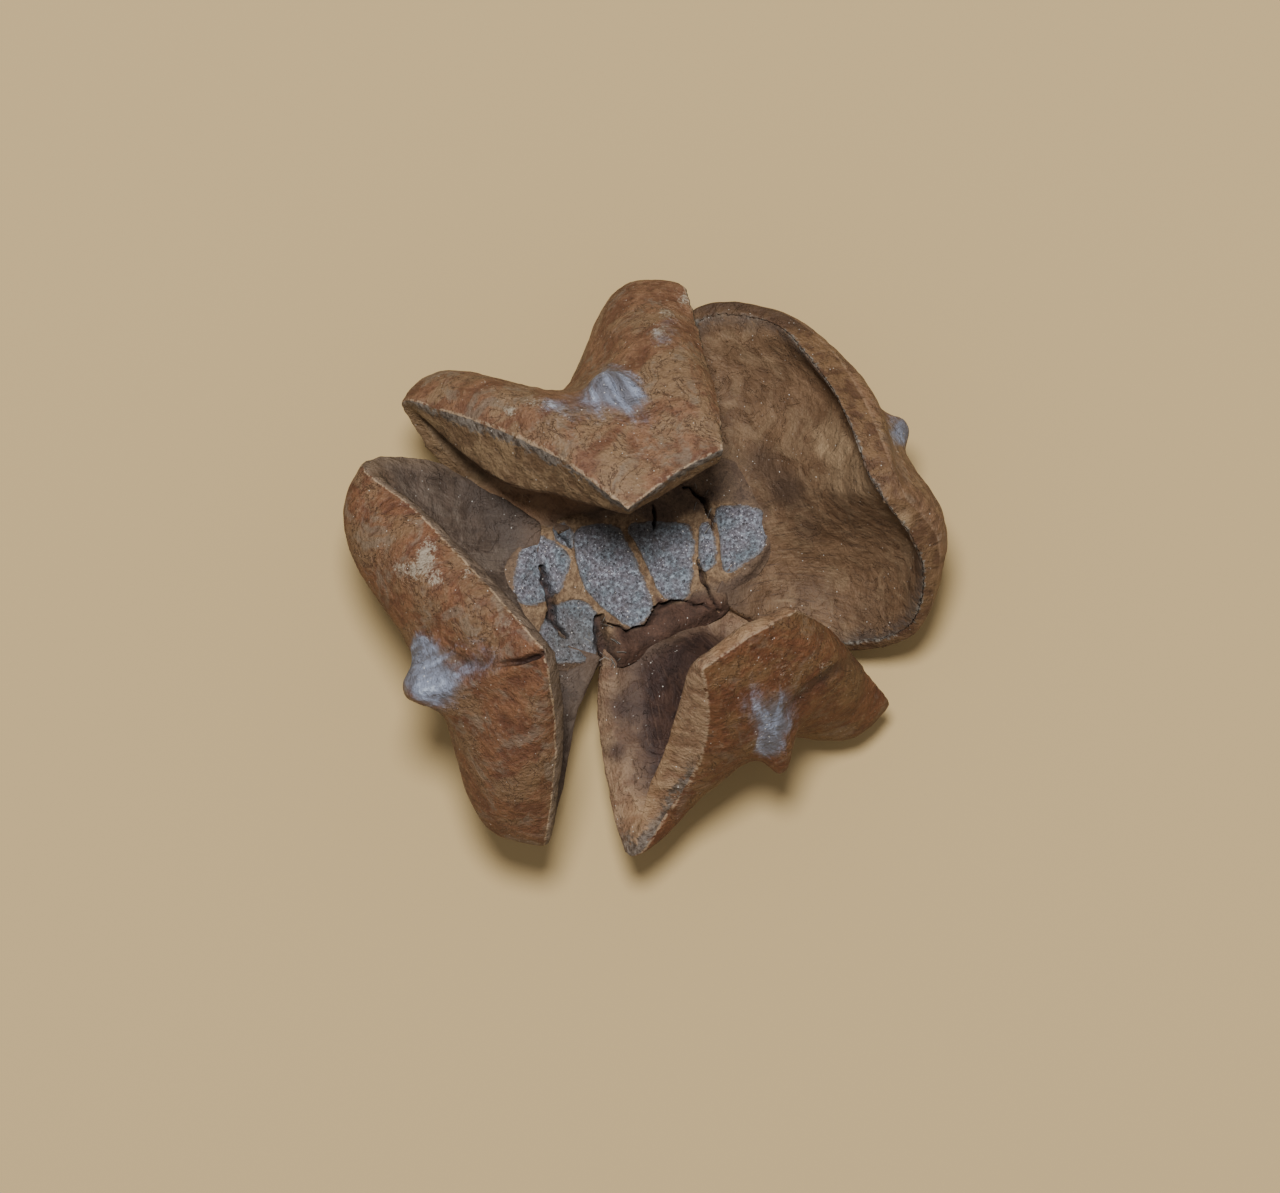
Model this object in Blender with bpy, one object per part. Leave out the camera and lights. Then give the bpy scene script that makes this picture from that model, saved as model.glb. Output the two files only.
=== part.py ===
"""An opened arar cone, the woody seed cone of Tetraclinis articulata.

Four thick scales stand in two opposite pairs round a woody core. The core's floor carries the
scars that the seeds left, and its underside runs down into a short stalk. Every scale has two
lobes with a furrow between them, and a blunt spine in the furrow near the tip.

Lengths below are in millimetres. A scale's own points are (out, side, up): outwards from the
cone's axis, sideways to the left when looking outwards from the axis, and up the axis from the
core's floor.
"""

import math

import bmesh
import bpy
from mathutils import Matrix, Vector

MM = 0.001

# How the cone stands: leaning, on the flat broken end of its stalk
LEAN_DEG = 17.0
STALK_LENGTH = 4.2  # from the core's floor down the axis to the stalk's broken end
STALK_BEND = (1.0, 0.35)  # how far the bent stalk's end is off the axis, to lie under the weight

# The core: a long rounded floor that narrows between the scales to the stalk
FLOOR_LENGTH = 9.2
FLOOR_WIDTH = 4.6
FLOOR_SHIFT = 0.3  # of the floor's middle off the axis, towards the top scale
FLOOR_SQUARENESS = 2.8
FLOOR_RISE = 0.55  # of both ends of the floor above its middle
CORE_AZIMUTH_DEG = 26.0
GAP = 0.3  # between a scale and the core, and between two scales where they would touch
CORE_SEGMENTS = 44
STALK_RADIUS = 1.25
# Up the axis: height, and the share of the way from the stalk's radius to the floor's outline
CORE_PROFILE = [
    (-5.4, 0.0), (-4.2, 0.0), (-3.4, 0.02), (-2.8, 0.08), (-2.2, 0.25), (-1.6, 0.5), (-1.0, 0.78),
    (-0.5, 0.95), (-0.15, 1.0),
]
FLOOR_STEPS = [0.96, 0.84, 0.66, 0.46, 0.26, 0.1]

# Seed scars in the floor: centre (x, y), half length, half width, turn in degrees
SCAR_DEPTH = 0.3
SCARS = {
    "left": ((-3.15, 0.15), 1.35, 0.85, 63.0),
    "lower_left": ((-2.35, -1.8), 1.1, 0.8, 20.0),
    "middle": ((-0.95, -0.1), 1.75, 1.05, -61.0),
    "right_middle": ((1.1, 0.35), 1.4, 0.9, 75.0),
    "right": ((3.1, 1.15), 1.2, 0.85, 46.0),
}

# The spine in each furrow is a blunt thorn that is wider than it is deep
SPINE_FLATNESS = 0.85
SPINE_TAPER = 0.45
SPINE_ROOT = 0.3  # how far it goes on behind its root, as a share of its length

# The mesh of a scale: rows run from its foot to its tip, columns across one face
ROWS = 22
OUTER_COLUMNS = 20
INNER_COLUMNS = 14
BROAD_PAIR = ("left_scale", "right_scale")

# Each scale, foot to tip: its two edges, the two rims of its inner face, the furrow on its
# outside, the middle of its inner face, how far its lobes swell (left, right), how deep its two
# hollows are, and its spine's root, tip and width. The contact face is between edge and rim.
SCALES = {
    "right_scale": {
        "azimuth": 26.0,
        "left_edge": [
            (3.0, 1.6, -0.3), (3.7, 4.6, -0.6), (5.4, 7.1, 0.2), (7.5, 6.1, 2.0),
            (8.1, 4.1, 4.0), (7.8, 2.3, 6.0), (7.2, 0.3, 7.8),
        ],
        "left_rim": [
            (2.9, 1.4, 0.2), (3.6, 4.3, -0.2), (5.2, 6.7, 0.4), (7.0, 5.9, 2.4),
            (7.2, 4.2, 4.4), (6.9, 2.6, 6.3), (6.3, 0.3, 7.8),
        ],
        "right_edge": [
            (1.9, -2.0, -0.3), (3.6, -4.3, -0.6), (5.6, -5.7, 0.3), (7.0, -5.8, 2.4),
            (7.7, -4.4, 4.6), (8.0, -2.7, 6.3), (7.2, -0.8, 7.7),
        ],
        "right_rim": [
            (1.9, -1.8, 0.2), (3.5, -4.0, -0.2), (5.4, -5.3, 0.6), (6.8, -5.4, 2.8),
            (7.3, -4.0, 5.0), (7.1, -2.4, 6.6), (6.4, -0.5, 7.8),
        ],
        "furrow": [
            (1.6, 0.0, -2.3), (4.4, 0.2, -2.5), (6.9, 0.6, -0.8),
            (8.3, 0.8, 2.0), (8.4, 1.0, 5.0), (7.2, -0.3, 7.8),
        ],
        "inner": [
            (4.6, 0.0, 0.2), (5.2, 0.0, 1.2), (6.0, -0.1, 3.0),
            (6.4, -0.2, 4.7), (6.6, -0.2, 6.2), (6.4, -0.1, 7.8),
        ],
        "lobes": [(0.3, 0.3), (1.1, 1.1), (0.9, 1.2), (0.5, 1.0), (0.3, 0.6), (0.0, 0.0)],
        "hollow": [0.1, 0.5, 0.8, 0.8, 0.5, 0.0],
        "spine": ((8.1, 0.9, 4.1), (9.3, 0.9, 4.3), 2.2),
    },
    "top_scale": {
        "azimuth": 116.0,
        "left_edge": [
            (2.4, 2.2, -0.3), (4.4, 3.9, -0.8), (8.6, 5.2, 0.6), (8.0, 4.5, 3.2),
            (6.7, 3.5, 5.6), (5.2, 2.7, 7.6), (3.2, 2.0, 9.1),
        ],
        "left_rim": [
            (2.4, 1.9, 0.1), (4.3, 3.5, -0.2), (8.1, 4.8, 0.6), (6.9, 4.7, 2.3),
            (5.2, 4.2, 4.3), (4.1, 3.0, 6.2), (2.9, 1.8, 8.3),
        ],
        "right_edge": [
            (1.8, -2.7, -0.3), (4.4, -4.2, -0.8), (8.0, -5.2, 1.0), (7.0, -4.6, 3.0),
            (5.7, -3.7, 5.2), (4.6, -2.8, 7.4), (3.6, -1.8, 9.2),
        ],
        "right_rim": [
            (1.9, -2.4, 0.1), (4.2, -3.7, -0.2), (7.3, -4.6, 1.5), (6.1, -3.8, 3.2),
            (4.8, -2.8, 5.0), (3.9, -2.2, 6.7), (3.1, -1.7, 8.3),
        ],
        "furrow": [
            (1.5, 0.0, -2.3), (4.0, 0.2, -2.2), (6.3, 0.4, 0.2),
            (6.9, 0.4, 3.4), (6.1, 0.0, 6.4), (3.6, 0.1, 9.3),
        ],
        "inner": [
            (2.4, 0.0, 0.0), (3.0, 0.0, 1.4), (3.8, 0.0, 3.2),
            (4.1, 0.0, 5.2), (3.8, 0.0, 6.8), (3.0, 0.0, 8.3),
        ],
        "lobes": [(0.3, 0.3), (1.0, 1.9), (1.2, 1.5), (0.9, 1.2), (0.5, 0.7), (0.0, 0.0)],
        "hollow": [0.1, 0.7, 1.1, 1.0, 0.5, 0.0],
        "spine": ((6.0, -0.2, 4.9), (7.2, 0.0, 6.2), 2.2),
    },
    "left_scale": {
        "azimuth": 206.0,
        "left_edge": [
            (2.5, 2.1, -0.3), (4.1, 3.6, -0.6), (5.8, 5.5, -0.2), (7.2, 6.6, 1.2),
            (7.0, 5.0, 3.6), (6.6, 2.8, 6.0), (6.6, 0.3, 8.8),
        ],
        "left_rim": [
            (2.5, 1.9, 0.2), (3.9, 3.2, -0.1), (5.4, 5.0, 0.2), (6.8, 6.1, 1.5),
            (6.6, 4.6, 3.7), (6.1, 2.5, 5.9), (6.1, 0.3, 8.3),
        ],
        "right_edge": [
            (2.4, -3.2, -0.3), (3.4, -4.9, -0.6), (4.9, -6.6, -0.3), (7.3, -7.6, 1.0),
            (7.0, -5.8, 3.4), (6.7, -3.0, 6.3), (6.5, -0.4, 8.8),
        ],
        "right_rim": [
            (2.4, -2.9, 0.1), (3.3, -4.5, -0.1), (4.8, -6.1, 0.1), (7.0, -7.2, 1.3),
            (6.7, -5.4, 3.5), (6.3, -2.7, 6.2), (6.1, -0.4, 8.3),
        ],
        "furrow": [
            (1.6, 0.0, -2.3), (4.8, 0.0, -2.3), (7.6, 0.0, -0.2),
            (9.0, 0.0, 3.0), (8.5, 0.0, 6.0), (6.6, -0.1, 8.9),
        ],
        "inner": [
            (4.4, 0.0, 0.2), (5.0, 0.0, 1.4), (5.8, 0.0, 3.2),
            (6.2, 0.0, 5.2), (6.2, 0.0, 7.0), (6.0, 0.0, 8.3),
        ],
        "lobes": [(0.3, 0.3), (1.1, 1.1), (1.3, 1.3), (1.2, 1.2), (0.7, 0.7), (0.0, 0.0)],
        "hollow": [0.1, 0.6, 0.9, 0.8, 0.4, 0.0],
        "spine": ((8.0, 0.0, 4.0), (10.0, -0.5, 3.6), 2.8),
    },
    "bottom_scale": {
        "azimuth": 296.0,
        "left_edge": [
            (2.0, 1.9, -0.3), (3.8, 3.4, -0.8), (7.6, 5.7, 0.5), (5.9, 4.8, 3.0),
            (4.2, 3.7, 5.6), (2.9, 2.6, 7.6), (2.3, 1.8, 9.0),
        ],
        "left_rim": [
            (2.0, 1.8, 0.0), (3.6, 3.1, -0.3), (7.1, 5.2, 0.8), (5.4, 4.1, 3.1),
            (3.7, 2.9, 5.4), (2.6, 2.2, 7.1), (2.0, 1.7, 8.4),
        ],
        "right_edge": [
            (1.8, -2.2, -0.3), (4.2, -3.4, -0.8), (8.2, -4.7, 0.5), (7.3, -3.1, 2.0),
            (6.0, -2.2, 4.4), (4.3, -1.9, 7.0), (2.6, -2.0, 9.0),
        ],
        "right_rim": [
            (1.8, -2.0, 0.0), (4.1, -3.1, -0.4), (7.8, -4.4, 0.8), (6.4, -3.9, 1.9),
            (5.1, -3.2, 3.8), (3.6, -2.7, 6.2), (2.2, -2.1, 8.4),
        ],
        "furrow": [
            (1.5, 0.0, -2.3), (4.2, 0.0, -2.2), (6.3, 0.5, 0.2),
            (6.7, 0.7, 3.4), (5.4, 0.7, 6.4), (2.3, 0.0, 9.2),
        ],
        "inner": [
            (2.4, 0.0, 0.0), (3.0, 0.0, 1.4), (3.8, 0.0, 3.2),
            (4.0, 0.0, 5.2), (3.3, 0.0, 6.8), (1.8, 0.0, 8.4),
        ],
        "lobes": [(0.3, 0.3), (1.0, 0.5), (1.2, 0.4), (1.0, 0.3), (0.6, 0.2), (0.0, 0.0)],
        "hollow": [0.1, 0.7, 1.0, 0.9, 0.5, 0.0],
        "spine": ((5.9, 0.7, 4.8), (7.7, 0.6, 3.5), 2.0),
    },
}

# Each sub-part's colour (linear red, green, blue) and roughness
WOODS = {
    "cone_core": ((0.155, 0.125, 0.105), 0.85),
    "top_scale": ((0.215, 0.085, 0.040), 0.62),
    "right_scale": ((0.120, 0.062, 0.034), 0.58),
    "bottom_scale": ((0.205, 0.090, 0.045), 0.60),
    "left_scale": ((0.190, 0.078, 0.042), 0.62),
}


def along(stations, v):
    """The value at v, from 0 to 1, on a smooth curve through evenly spaced stations."""
    last = len(stations) - 1
    place = min(max(v, 0.0), 1.0) * last
    i = min(int(place), last - 1)
    f = place - i
    a, b, c, d = [stations[min(max(i + k, 0), last)] for k in (-1, 0, 1, 2)]
    if not isinstance(a, (int, float)):
        a, b, c, d = Vector(a), Vector(b), Vector(c), Vector(d)
    slope, bend, twist = c - a, 2 * a - 5 * b + 4 * c - d, 3 * b - a - 3 * c + d
    return 0.5 * (2 * b + slope * f + bend * f**2 + twist * f**3)


def swell(x):
    """A lobe across half a face: nothing at the furrow (0) and the edge (1), 1 at its top."""
    top = 3 ** (-1 / 3)
    return (x / top) ** 1.5 * (1 - x**3) / (1 - top**3)


def outward(edge, middle, side, v):
    """The unit vector out of the face between its middle line and its edge on one side."""
    step = 0.02
    forward = along(middle, min(v + step, 1)) - along(middle, max(v - step, 0))
    chord = along(edge, v) - along(middle, v)
    return side * chord.cross(forward).normalized()


def outer_point(scale, s, v):
    """A point of the outer face, s from -1 (right edge) through 0 (furrow) to 1 (left edge)."""
    side = 1 if s >= 0 else -1
    edge = scale["left_edge"] if side > 0 else scale["right_edge"]
    lobe = along(scale["lobes"], v)[0 if side > 0 else 1]
    face = along(scale["furrow"], v).lerp(along(edge, v), abs(s))
    return face + outward(edge, scale["furrow"], side, v) * lobe * swell(abs(s))


def inner_point(scale, s, v):
    """A point of the inner face, which starts where the contact face along the edge ends."""
    side = 1 if s >= 0 else -1
    edge, rim = ("left_edge", "left_rim") if side > 0 else ("right_edge", "right_rim")
    face = along(scale["inner"], v).lerp(along(scale[rim], v), abs(s))
    depth = along(scale["hollow"], v) * math.sin(math.pi * s) ** 2
    return face + outward(scale[edge], scale["furrow"], side, v) * depth


def scale_section(scale, v):
    """One closed section of a scale: across its outer face and back across its inner face."""
    section = [outer_point(scale, 1 - 2 * k / OUTER_COLUMNS, v) for k in range(OUTER_COLUMNS + 1)]
    section += [inner_point(scale, 2 * k / INNER_COLUMNS - 1, v) for k in range(INNER_COLUMNS + 1)]
    return section


def loft(sections):
    """A closed bmesh through sections of equal count, with a face over each end."""
    bm = bmesh.new()
    rows = [[bm.verts.new(p) for p in section] for section in sections]
    count = len(rows[0])
    for low, high in zip(rows, rows[1:]):
        for k in range(count):
            n = (k + 1) % count
            bm.faces.new((low[k], low[n], high[n], high[k]))
    bm.faces.new(reversed(rows[0]))
    bm.faces.new(rows[-1])
    bmesh.ops.triangulate(bm, faces=[f for f in bm.faces if len(f.verts) > 4])
    bmesh.ops.recalc_face_normals(bm, faces=bm.faces)
    return bm


def as_object(name, bm, matrix, collection):
    """The bmesh as an object of the collection, in metres, with its mesh turned by matrix."""
    mesh = bpy.data.meshes.new(name)
    bm.transform(Matrix.Scale(MM, 4) @ matrix)
    bm.to_mesh(mesh)
    bm.free()
    obj = bpy.data.objects.new(name, mesh)
    collection.objects.link(obj)
    return obj


def cone_matrix():
    """From the cone's own frame, with the floor's middle at its origin, to how it lies."""
    turn = Matrix.Rotation(math.radians(LEAN_DEG), 4, "Y")
    return turn @ Matrix.Translation((-STALK_BEND[0], -STALK_BEND[1], STALK_LENGTH))


def scale_matrix(scale):
    return cone_matrix() @ Matrix.Rotation(math.radians(scale["azimuth"]), 4, "Z")


def boolean(obj, operation, cutter):
    modifier = obj.modifiers.new(operation.lower(), "BOOLEAN")
    modifier.operation = operation
    modifier.solver = "EXACT"
    modifier.object = cutter


def make_guide(obj):
    obj.hide_render = True
    obj.display_type = "WIRE"


def make_spine(name, scale, guides):
    """A thorn from its root, which is inside the scale, to its blunt tip."""
    root, tip, width = scale["spine"]
    root, reach = Vector(root), Vector(tip) - Vector(root)
    bm = bmesh.new()
    bmesh.ops.create_uvsphere(bm, u_segments=14, v_segments=10, radius=1.0)
    for vert in bm.verts:
        slim = 1 - SPINE_TAPER * (vert.co.z + 1) / 2
        vert.co.x *= SPINE_FLATNESS * width / 2 * slim
        vert.co.y *= width / 2 * slim
        vert.co.z *= reach.length * (1 if vert.co.z > 0 else SPINE_ROOT)
    aim = Matrix.Translation(root) @ reach.to_track_quat("Z", "Y").to_matrix().to_4x4()
    spine = as_object(name, bm, scale_matrix(scale) @ aim, guides)
    make_guide(spine)
    return spine


def make_clearance(name, bm, matrix, guides):
    """A body that keeps its neighbours off: it is larger by the gap all round."""
    bm.normal_update()
    moved = [vert.co + vert.normal * GAP for vert in bm.verts]
    for vert, place in zip(bm.verts, moved):
        vert.co = place
    clearance = as_object(name, bm, matrix, guides)
    make_guide(clearance)
    return clearance


def scale_body(scale):
    return loft([scale_section(scale, k / ROWS) for k in range(ROWS + 1)])


def make_scale(name, scale, cone, guides):
    """A scale with the spine that stands in its furrow, its foot cut to fit the core."""
    obj = as_object(name, scale_body(scale), scale_matrix(scale), cone)
    boolean(obj, "UNION", make_spine(name + "_spine", scale, guides))
    boolean(obj, "DIFFERENCE", guides.objects["core_clearance"])
    return obj


def make_room(scales, guides):
    """The narrow pair's feet are cut clear of the broad pair's."""
    for broad in BROAD_PAIR:
        matrix = scale_matrix(SCALES[broad])
        clearance = make_clearance(broad + "_clearance", scale_body(SCALES[broad]), matrix, guides)
        for narrow in set(SCALES) - set(BROAD_PAIR):
            boolean(scales[narrow], "DIFFERENCE", clearance)


def floor_outline(angle):
    """The floor's outline, a long superellipse, at an angle round the axis."""
    c, s = math.cos(angle), math.sin(angle)
    power = 2 / FLOOR_SQUARENESS
    x = math.copysign(abs(c) ** power, c) * FLOOR_LENGTH / 2
    y = math.copysign(abs(s) ** power, s) * FLOOR_WIDTH / 2 + FLOOR_SHIFT
    return Vector((x, y, 0))


def floor_height(x):
    return FLOOR_RISE * (2 * x / FLOOR_LENGTH) ** 2


def stalk_offset():
    """The stalk's bend in the core's own frame, which is turned about the axis."""
    return Matrix.Rotation(-math.radians(CORE_AZIMUTH_DEG), 3, "Z") @ Vector((*STALK_BEND, 0))


def core_sections():
    """Sections from below the stalk's end to the floor's rim, and on across the floor."""
    angles = [2 * math.pi * k / CORE_SEGMENTS for k in range(CORE_SEGMENTS)]
    sections = []
    for up, share in CORE_PROFILE:
        ring = []
        for a in angles:
            bend = min(1, (share - 1) ** 2 * -up / STALK_LENGTH)
            stalk = Vector((math.cos(a), math.sin(a), 0)) * STALK_RADIUS
            stalk += stalk_offset() * bend
            p = stalk.lerp(floor_outline(a), share)
            p.z = up + floor_height(p.x) * share
            ring.append(p)
        sections.append(ring)
    middle = Vector((0, FLOOR_SHIFT, 0))
    for share in FLOOR_STEPS:
        ring = []
        for a in angles:
            p = middle.lerp(floor_outline(a), share)
            p.z = floor_height(p.x)
            ring.append(p)
        sections.append(ring)
    return sections


def make_scar(name, centre, half_length, half_width, turn_deg, guides):
    """The shallow hollow that a seed left in the floor."""
    bm = bmesh.new()
    bmesh.ops.create_uvsphere(bm, u_segments=20, v_segments=10, radius=1.0)
    # The centre is where the scar is seen from above, with the cone leaning
    x, y = centre[0] / math.cos(math.radians(LEAN_DEG)), centre[1]
    along_floor = x * math.cos(math.radians(CORE_AZIMUTH_DEG)) + y * math.sin(math.radians(CORE_AZIMUTH_DEG))
    place = Matrix.Translation((x, y, floor_height(along_floor)))
    slope = math.atan(8 * FLOOR_RISE * along_floor / FLOOR_LENGTH**2)
    tilt = Matrix.Rotation(math.radians(CORE_AZIMUTH_DEG), 4, "Z") @ Matrix.Rotation(-slope, 4, "Y")
    spin = Matrix.Rotation(math.radians(turn_deg - CORE_AZIMUTH_DEG), 4, "Z")
    size = Matrix.Diagonal((half_length, half_width, SCAR_DEPTH, 1))
    scar = as_object(name, bm, cone_matrix() @ place @ tilt @ spin @ size, guides)
    make_guide(scar)
    return scar


def make_core(cone, guides):
    """The woody core with the seed scars in its floor and its stalk broken off flat."""
    matrix = cone_matrix() @ Matrix.Rotation(math.radians(CORE_AZIMUTH_DEG), 4, "Z")
    core = as_object("cone_core", loft(core_sections()), matrix, cone)
    make_clearance("core_clearance", loft(core_sections()), matrix, guides)
    for name, scar in SCARS.items():
        boolean(core, "DIFFERENCE", make_scar(name + "_scar", *scar, guides))
    bm = bmesh.new()
    bmesh.ops.create_cube(bm, size=2 * STALK_LENGTH)
    ground = as_object("ground", bm, Matrix.Translation((0, 0, -STALK_LENGTH)), guides)
    make_guide(ground)
    boolean(core, "DIFFERENCE", ground)
    return core


def paint(obj):
    colour, roughness = WOODS[obj.name]
    material = bpy.data.materials.new(obj.name)
    material.use_nodes = True
    shader = material.node_tree.nodes["Principled BSDF"]
    shader.inputs["Base Color"].default_value = (*colour, 1)
    shader.inputs["Roughness"].default_value = roughness
    shader.inputs["Metallic"].default_value = 0.0
    obj.data.materials.append(material)


def new_collection(name):
    collection = bpy.data.collections.new(name)
    bpy.context.scene.collection.children.link(collection)
    return collection


def main():
    for old in list(bpy.data.objects):
        bpy.data.objects.remove(old)
    cone = new_collection("arar_cone")
    guides = new_collection("guides")
    paint(make_core(cone, guides))
    scales = {name: make_scale(name, scale, cone, guides) for name, scale in SCALES.items()}
    make_room(scales, guides)
    for scale in scales.values():
        paint(scale)


main()
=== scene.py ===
import math

import bpy
import numpy as np
from mathutils.kdtree import KDTree
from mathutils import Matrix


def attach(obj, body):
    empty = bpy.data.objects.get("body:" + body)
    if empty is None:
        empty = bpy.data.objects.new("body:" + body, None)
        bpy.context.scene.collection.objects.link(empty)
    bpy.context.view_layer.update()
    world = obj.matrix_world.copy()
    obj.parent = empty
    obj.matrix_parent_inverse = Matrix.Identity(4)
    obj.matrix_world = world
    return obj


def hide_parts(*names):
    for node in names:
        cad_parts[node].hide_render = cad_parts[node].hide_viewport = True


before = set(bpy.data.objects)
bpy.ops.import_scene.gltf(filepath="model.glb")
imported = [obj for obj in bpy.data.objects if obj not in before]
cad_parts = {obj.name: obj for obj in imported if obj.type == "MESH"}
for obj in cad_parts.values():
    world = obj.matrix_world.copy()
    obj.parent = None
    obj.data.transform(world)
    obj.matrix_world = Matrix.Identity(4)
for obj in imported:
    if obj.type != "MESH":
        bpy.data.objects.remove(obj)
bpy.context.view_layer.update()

# The core: the woody middle of the cone, dry and crumbly, that the four scales grew from. Its
# floor keeps a pale, speckled scar for every seed that lay on it, with thin brown ridges
# between and a few drying cracks, and below it runs down into the broken stalk.
MM = 0.001
LEAN = math.radians(17.0)
STALK_LENGTH = 4.2
STALK_BEND = np.array((1.0, 0.35, 0.0))
STALK_RADIUS = 1.25
CORE_TURN = 26.0
FLOOR_HALF = (4.6, 2.3)
FLOOR_SHIFT = 0.3
FLOOR_SQUARENESS = 2.8
FLOOR_RISE = 0.55
FLOOR_SPREAD = 0.4
FLOOR_DROOP = 0.35
# Heights from the floor between which the wall flares out, and between which its rim droops
FLARE = (-0.9, -0.2)
DROOP = (-0.9, -0.15)
CORE_PROFILE = [
    (-4.9, 0.0), (-4.2, 0.0), (-3.4, 0.02), (-2.8, 0.08), (-2.2, 0.25), (-1.6, 0.5), (-1.0, 0.78),
    (-0.5, 0.95), (-0.15, 1.0),
]
CORE_COLUMNS = 440
CORE_ROWS = 40
FLOOR_ROWS = 110
SCAR_STEP = 0.05
SCAR_BOWL = 0.12
RIDGE_HEIGHT = 0.07
CRACK_DEPTH = 0.5
CRACK_WANDER = 0.04
# The torn wood that rises from the floor to the bottom scale's foot: where it starts at its
# left, right and upper end, from above, how high it rises and how far out it reaches
RAMP_LEFT = (-1.2, -0.6)
RAMP_RIGHT = (3.6, 2.6)
RAMP_TOP = (-0.6, -1.0)
RAMP_HEIGHT = 0.4
RAMP_REACH = 0.3
# Where the scars are dull, and where the top scale's tip's shadow is painted on them (the first spot is a
# duller scar, the second the painted shadow), from above: x, y, half width, half height and strength
DULL_AND_SHADOW_SPOTS = [(-2.3, -2.3, 1.1, 1.1, 1.0), (-0.4, 1.6, 1.3, 0.8, 0.9)]
# The scars' outlines and the cracks, in mm right and up of the floor's middle, from above
SCARS = [
    [(-3.5, 1.23), (-3.93, 0.67), (-4.17, -0.2), (-4.13, -0.83), (-3.73, -1.13), (-3.17, -1),
     (-2.73, -0.73), (-2.47, -0.2), (-2.33, 0.4), (-2.6, 0.8), (-3, 1.07)],
    [(-2.9, 1.4), (-2.73, 1.6), (-2.43, 1.57), (-2.23, 1.27), (-2.23, 0.8), (-2.53, 0.87), (-2.8, 1.07)],
    [(-2.1, 1.4), (-1.47, 1.6), (-0.77, 1.47), (-0.33, 0.8), (0, 0.07), (0.3, -0.67), (0.43, -1.2),
     (0.13, -1.67), (-0.33, -1.83), (-0.93, -1.47), (-1.47, -1), (-1.87, -0.47), (-2.1, 0.23),
     (-2.2, 0.87)],
    [(-0.4, 1.47), (0.17, 1.67), (0.93, 1.67), (1.6, 1.57), (1.8, 1.07), (1.77, 0.33), (1.73, -0.33),
     (1.53, -0.87), (1, -0.93), (0.57, -0.6), (0.27, 0.13), (-0.07, 0.8)],
    [(1.97, 1.4), (2.13, 1.67), (2.4, 1.47), (2.53, 0.9), (2.53, 0.33), (2.2, 0), (1.97, 0.4)],
    [(2.53, 2.07), (3.17, 2.23), (3.93, 2.13), (4.27, 1.8), (4.23, 0.9), (3.67, 0.4), (2.93, -0.03),
     (2.7, 0.4), (2.63, 1.23)],
    [(-2.73, -1.07), (-2.17, -0.93), (-1.67, -1.1), (-1.33, -1.67), (-1.33, -2.43), (-1.6, -2.93),
     (-2.33, -3.03), (-2.93, -3), (-3.3, -2.77), (-3.33, -2), (-3.1, -1.43)],
]
# Each crack: its half width in mm and the points that it runs through
CRACKS = [
    (0.2, [(-3.2, 0.2), (-3.07, -0.35), (-2.93, -0.87), (-2.9, -1.4), (-2.73, -1.8), (-2.4, -2.2)]),
    (0.13, [(1.5, 2.85), (1.85, 2.65), (2.2, 2.25), (2.42, 1.75), (2.45, 1.4)]),
    (0.08, [(1.93, 0.45), (2.12, -0.2), (2.4, -0.85), (2.6, -1.1)]),
    (0.32, [(-1.35, -1.5), (-1.25, -2.1), (-1.1, -2.8), (-1.2, -3.9)]),
    (0.05, [(0.4, 2.2), (0.5, 1.75), (0.47, 1.4)]),
    (0.07, [(-1.1, -1.75), (-0.4, -1.95), (0.25, -1.75), (0.6, -1.1), (1.35, -0.97), (2.2, -1.1)]),
    (0.06, [(-2.9, 1.75), (-2.75, 1.45), (-2.45, 1.0), (-2.3, 0.75)]),
]


def spline(stations, v):
    """Points of a smooth curve through evenly spaced stations, at the shares v of its run."""
    p = np.array(stations, float)
    last = len(p) - 1
    place = np.clip(v, 0, 1) * last
    i = np.minimum(place.astype(int), last - 1)
    f = place - i
    if p.ndim > 1:
        f = f[..., None]
    a, b, c, d = (p[np.clip(i + k, 0, last)] for k in (-1, 0, 1, 2))
    return 0.5 * (2 * b + (c - a) * f + (2 * a - 5 * b + 4 * c - d) * f**2 + (3 * b - a - 3 * c + d) * f**3)


def ease(x, low, high):
    """0 at low, 1 at high, and a smooth rise between; low may be above high."""
    t = np.clip((x - low) / (high - low), 0, 1)
    return t * t * (3 - 2 * t)


def turned(points, degrees):
    """Points turned about the cone's axis."""
    c, s = math.cos(math.radians(degrees)), math.sin(math.radians(degrees))
    return points @ np.array(((c, s, 0), (-s, c, 0), (0, 0, 1)))


def lying(points):
    """From the cone's own frame, in mm from the floor's middle, to how it lies, in metres."""
    c, s = math.cos(LEAN), math.sin(LEAN)
    moved = points + np.array((0, 0, STALK_LENGTH)) - STALK_BEND
    return moved @ np.array(((c, 0, -s), (0, 1, 0), (s, 0, c))) * MM


def from_above(points):
    """Where points of the cone's own frame are seen from above, in mm from the floor's middle."""
    return (lying(points) - lying(np.zeros(3)))[..., :2] / MM


def to_path(places, path):
    """How far places are from a path of points, and at what share of its run they are."""
    path = np.array(path)
    steps = np.linalg.norm(np.diff(path, axis=0), axis=1)
    run = np.concatenate(([0], np.cumsum(steps))) / steps.sum()
    best, share = np.full(len(places), 99.0), np.zeros(len(places))
    for a, b, low, high in zip(path, path[1:], run, run[1:]):
        t = np.clip((places - a) @ (b - a) / ((b - a) @ (b - a)), 0, 1)
        away = np.linalg.norm(places - a - t[:, None] * (b - a), axis=1)
        near = away < best
        best[near], share[near] = away[near], (low + (high - low) * t)[near]
    return best, share


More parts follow.
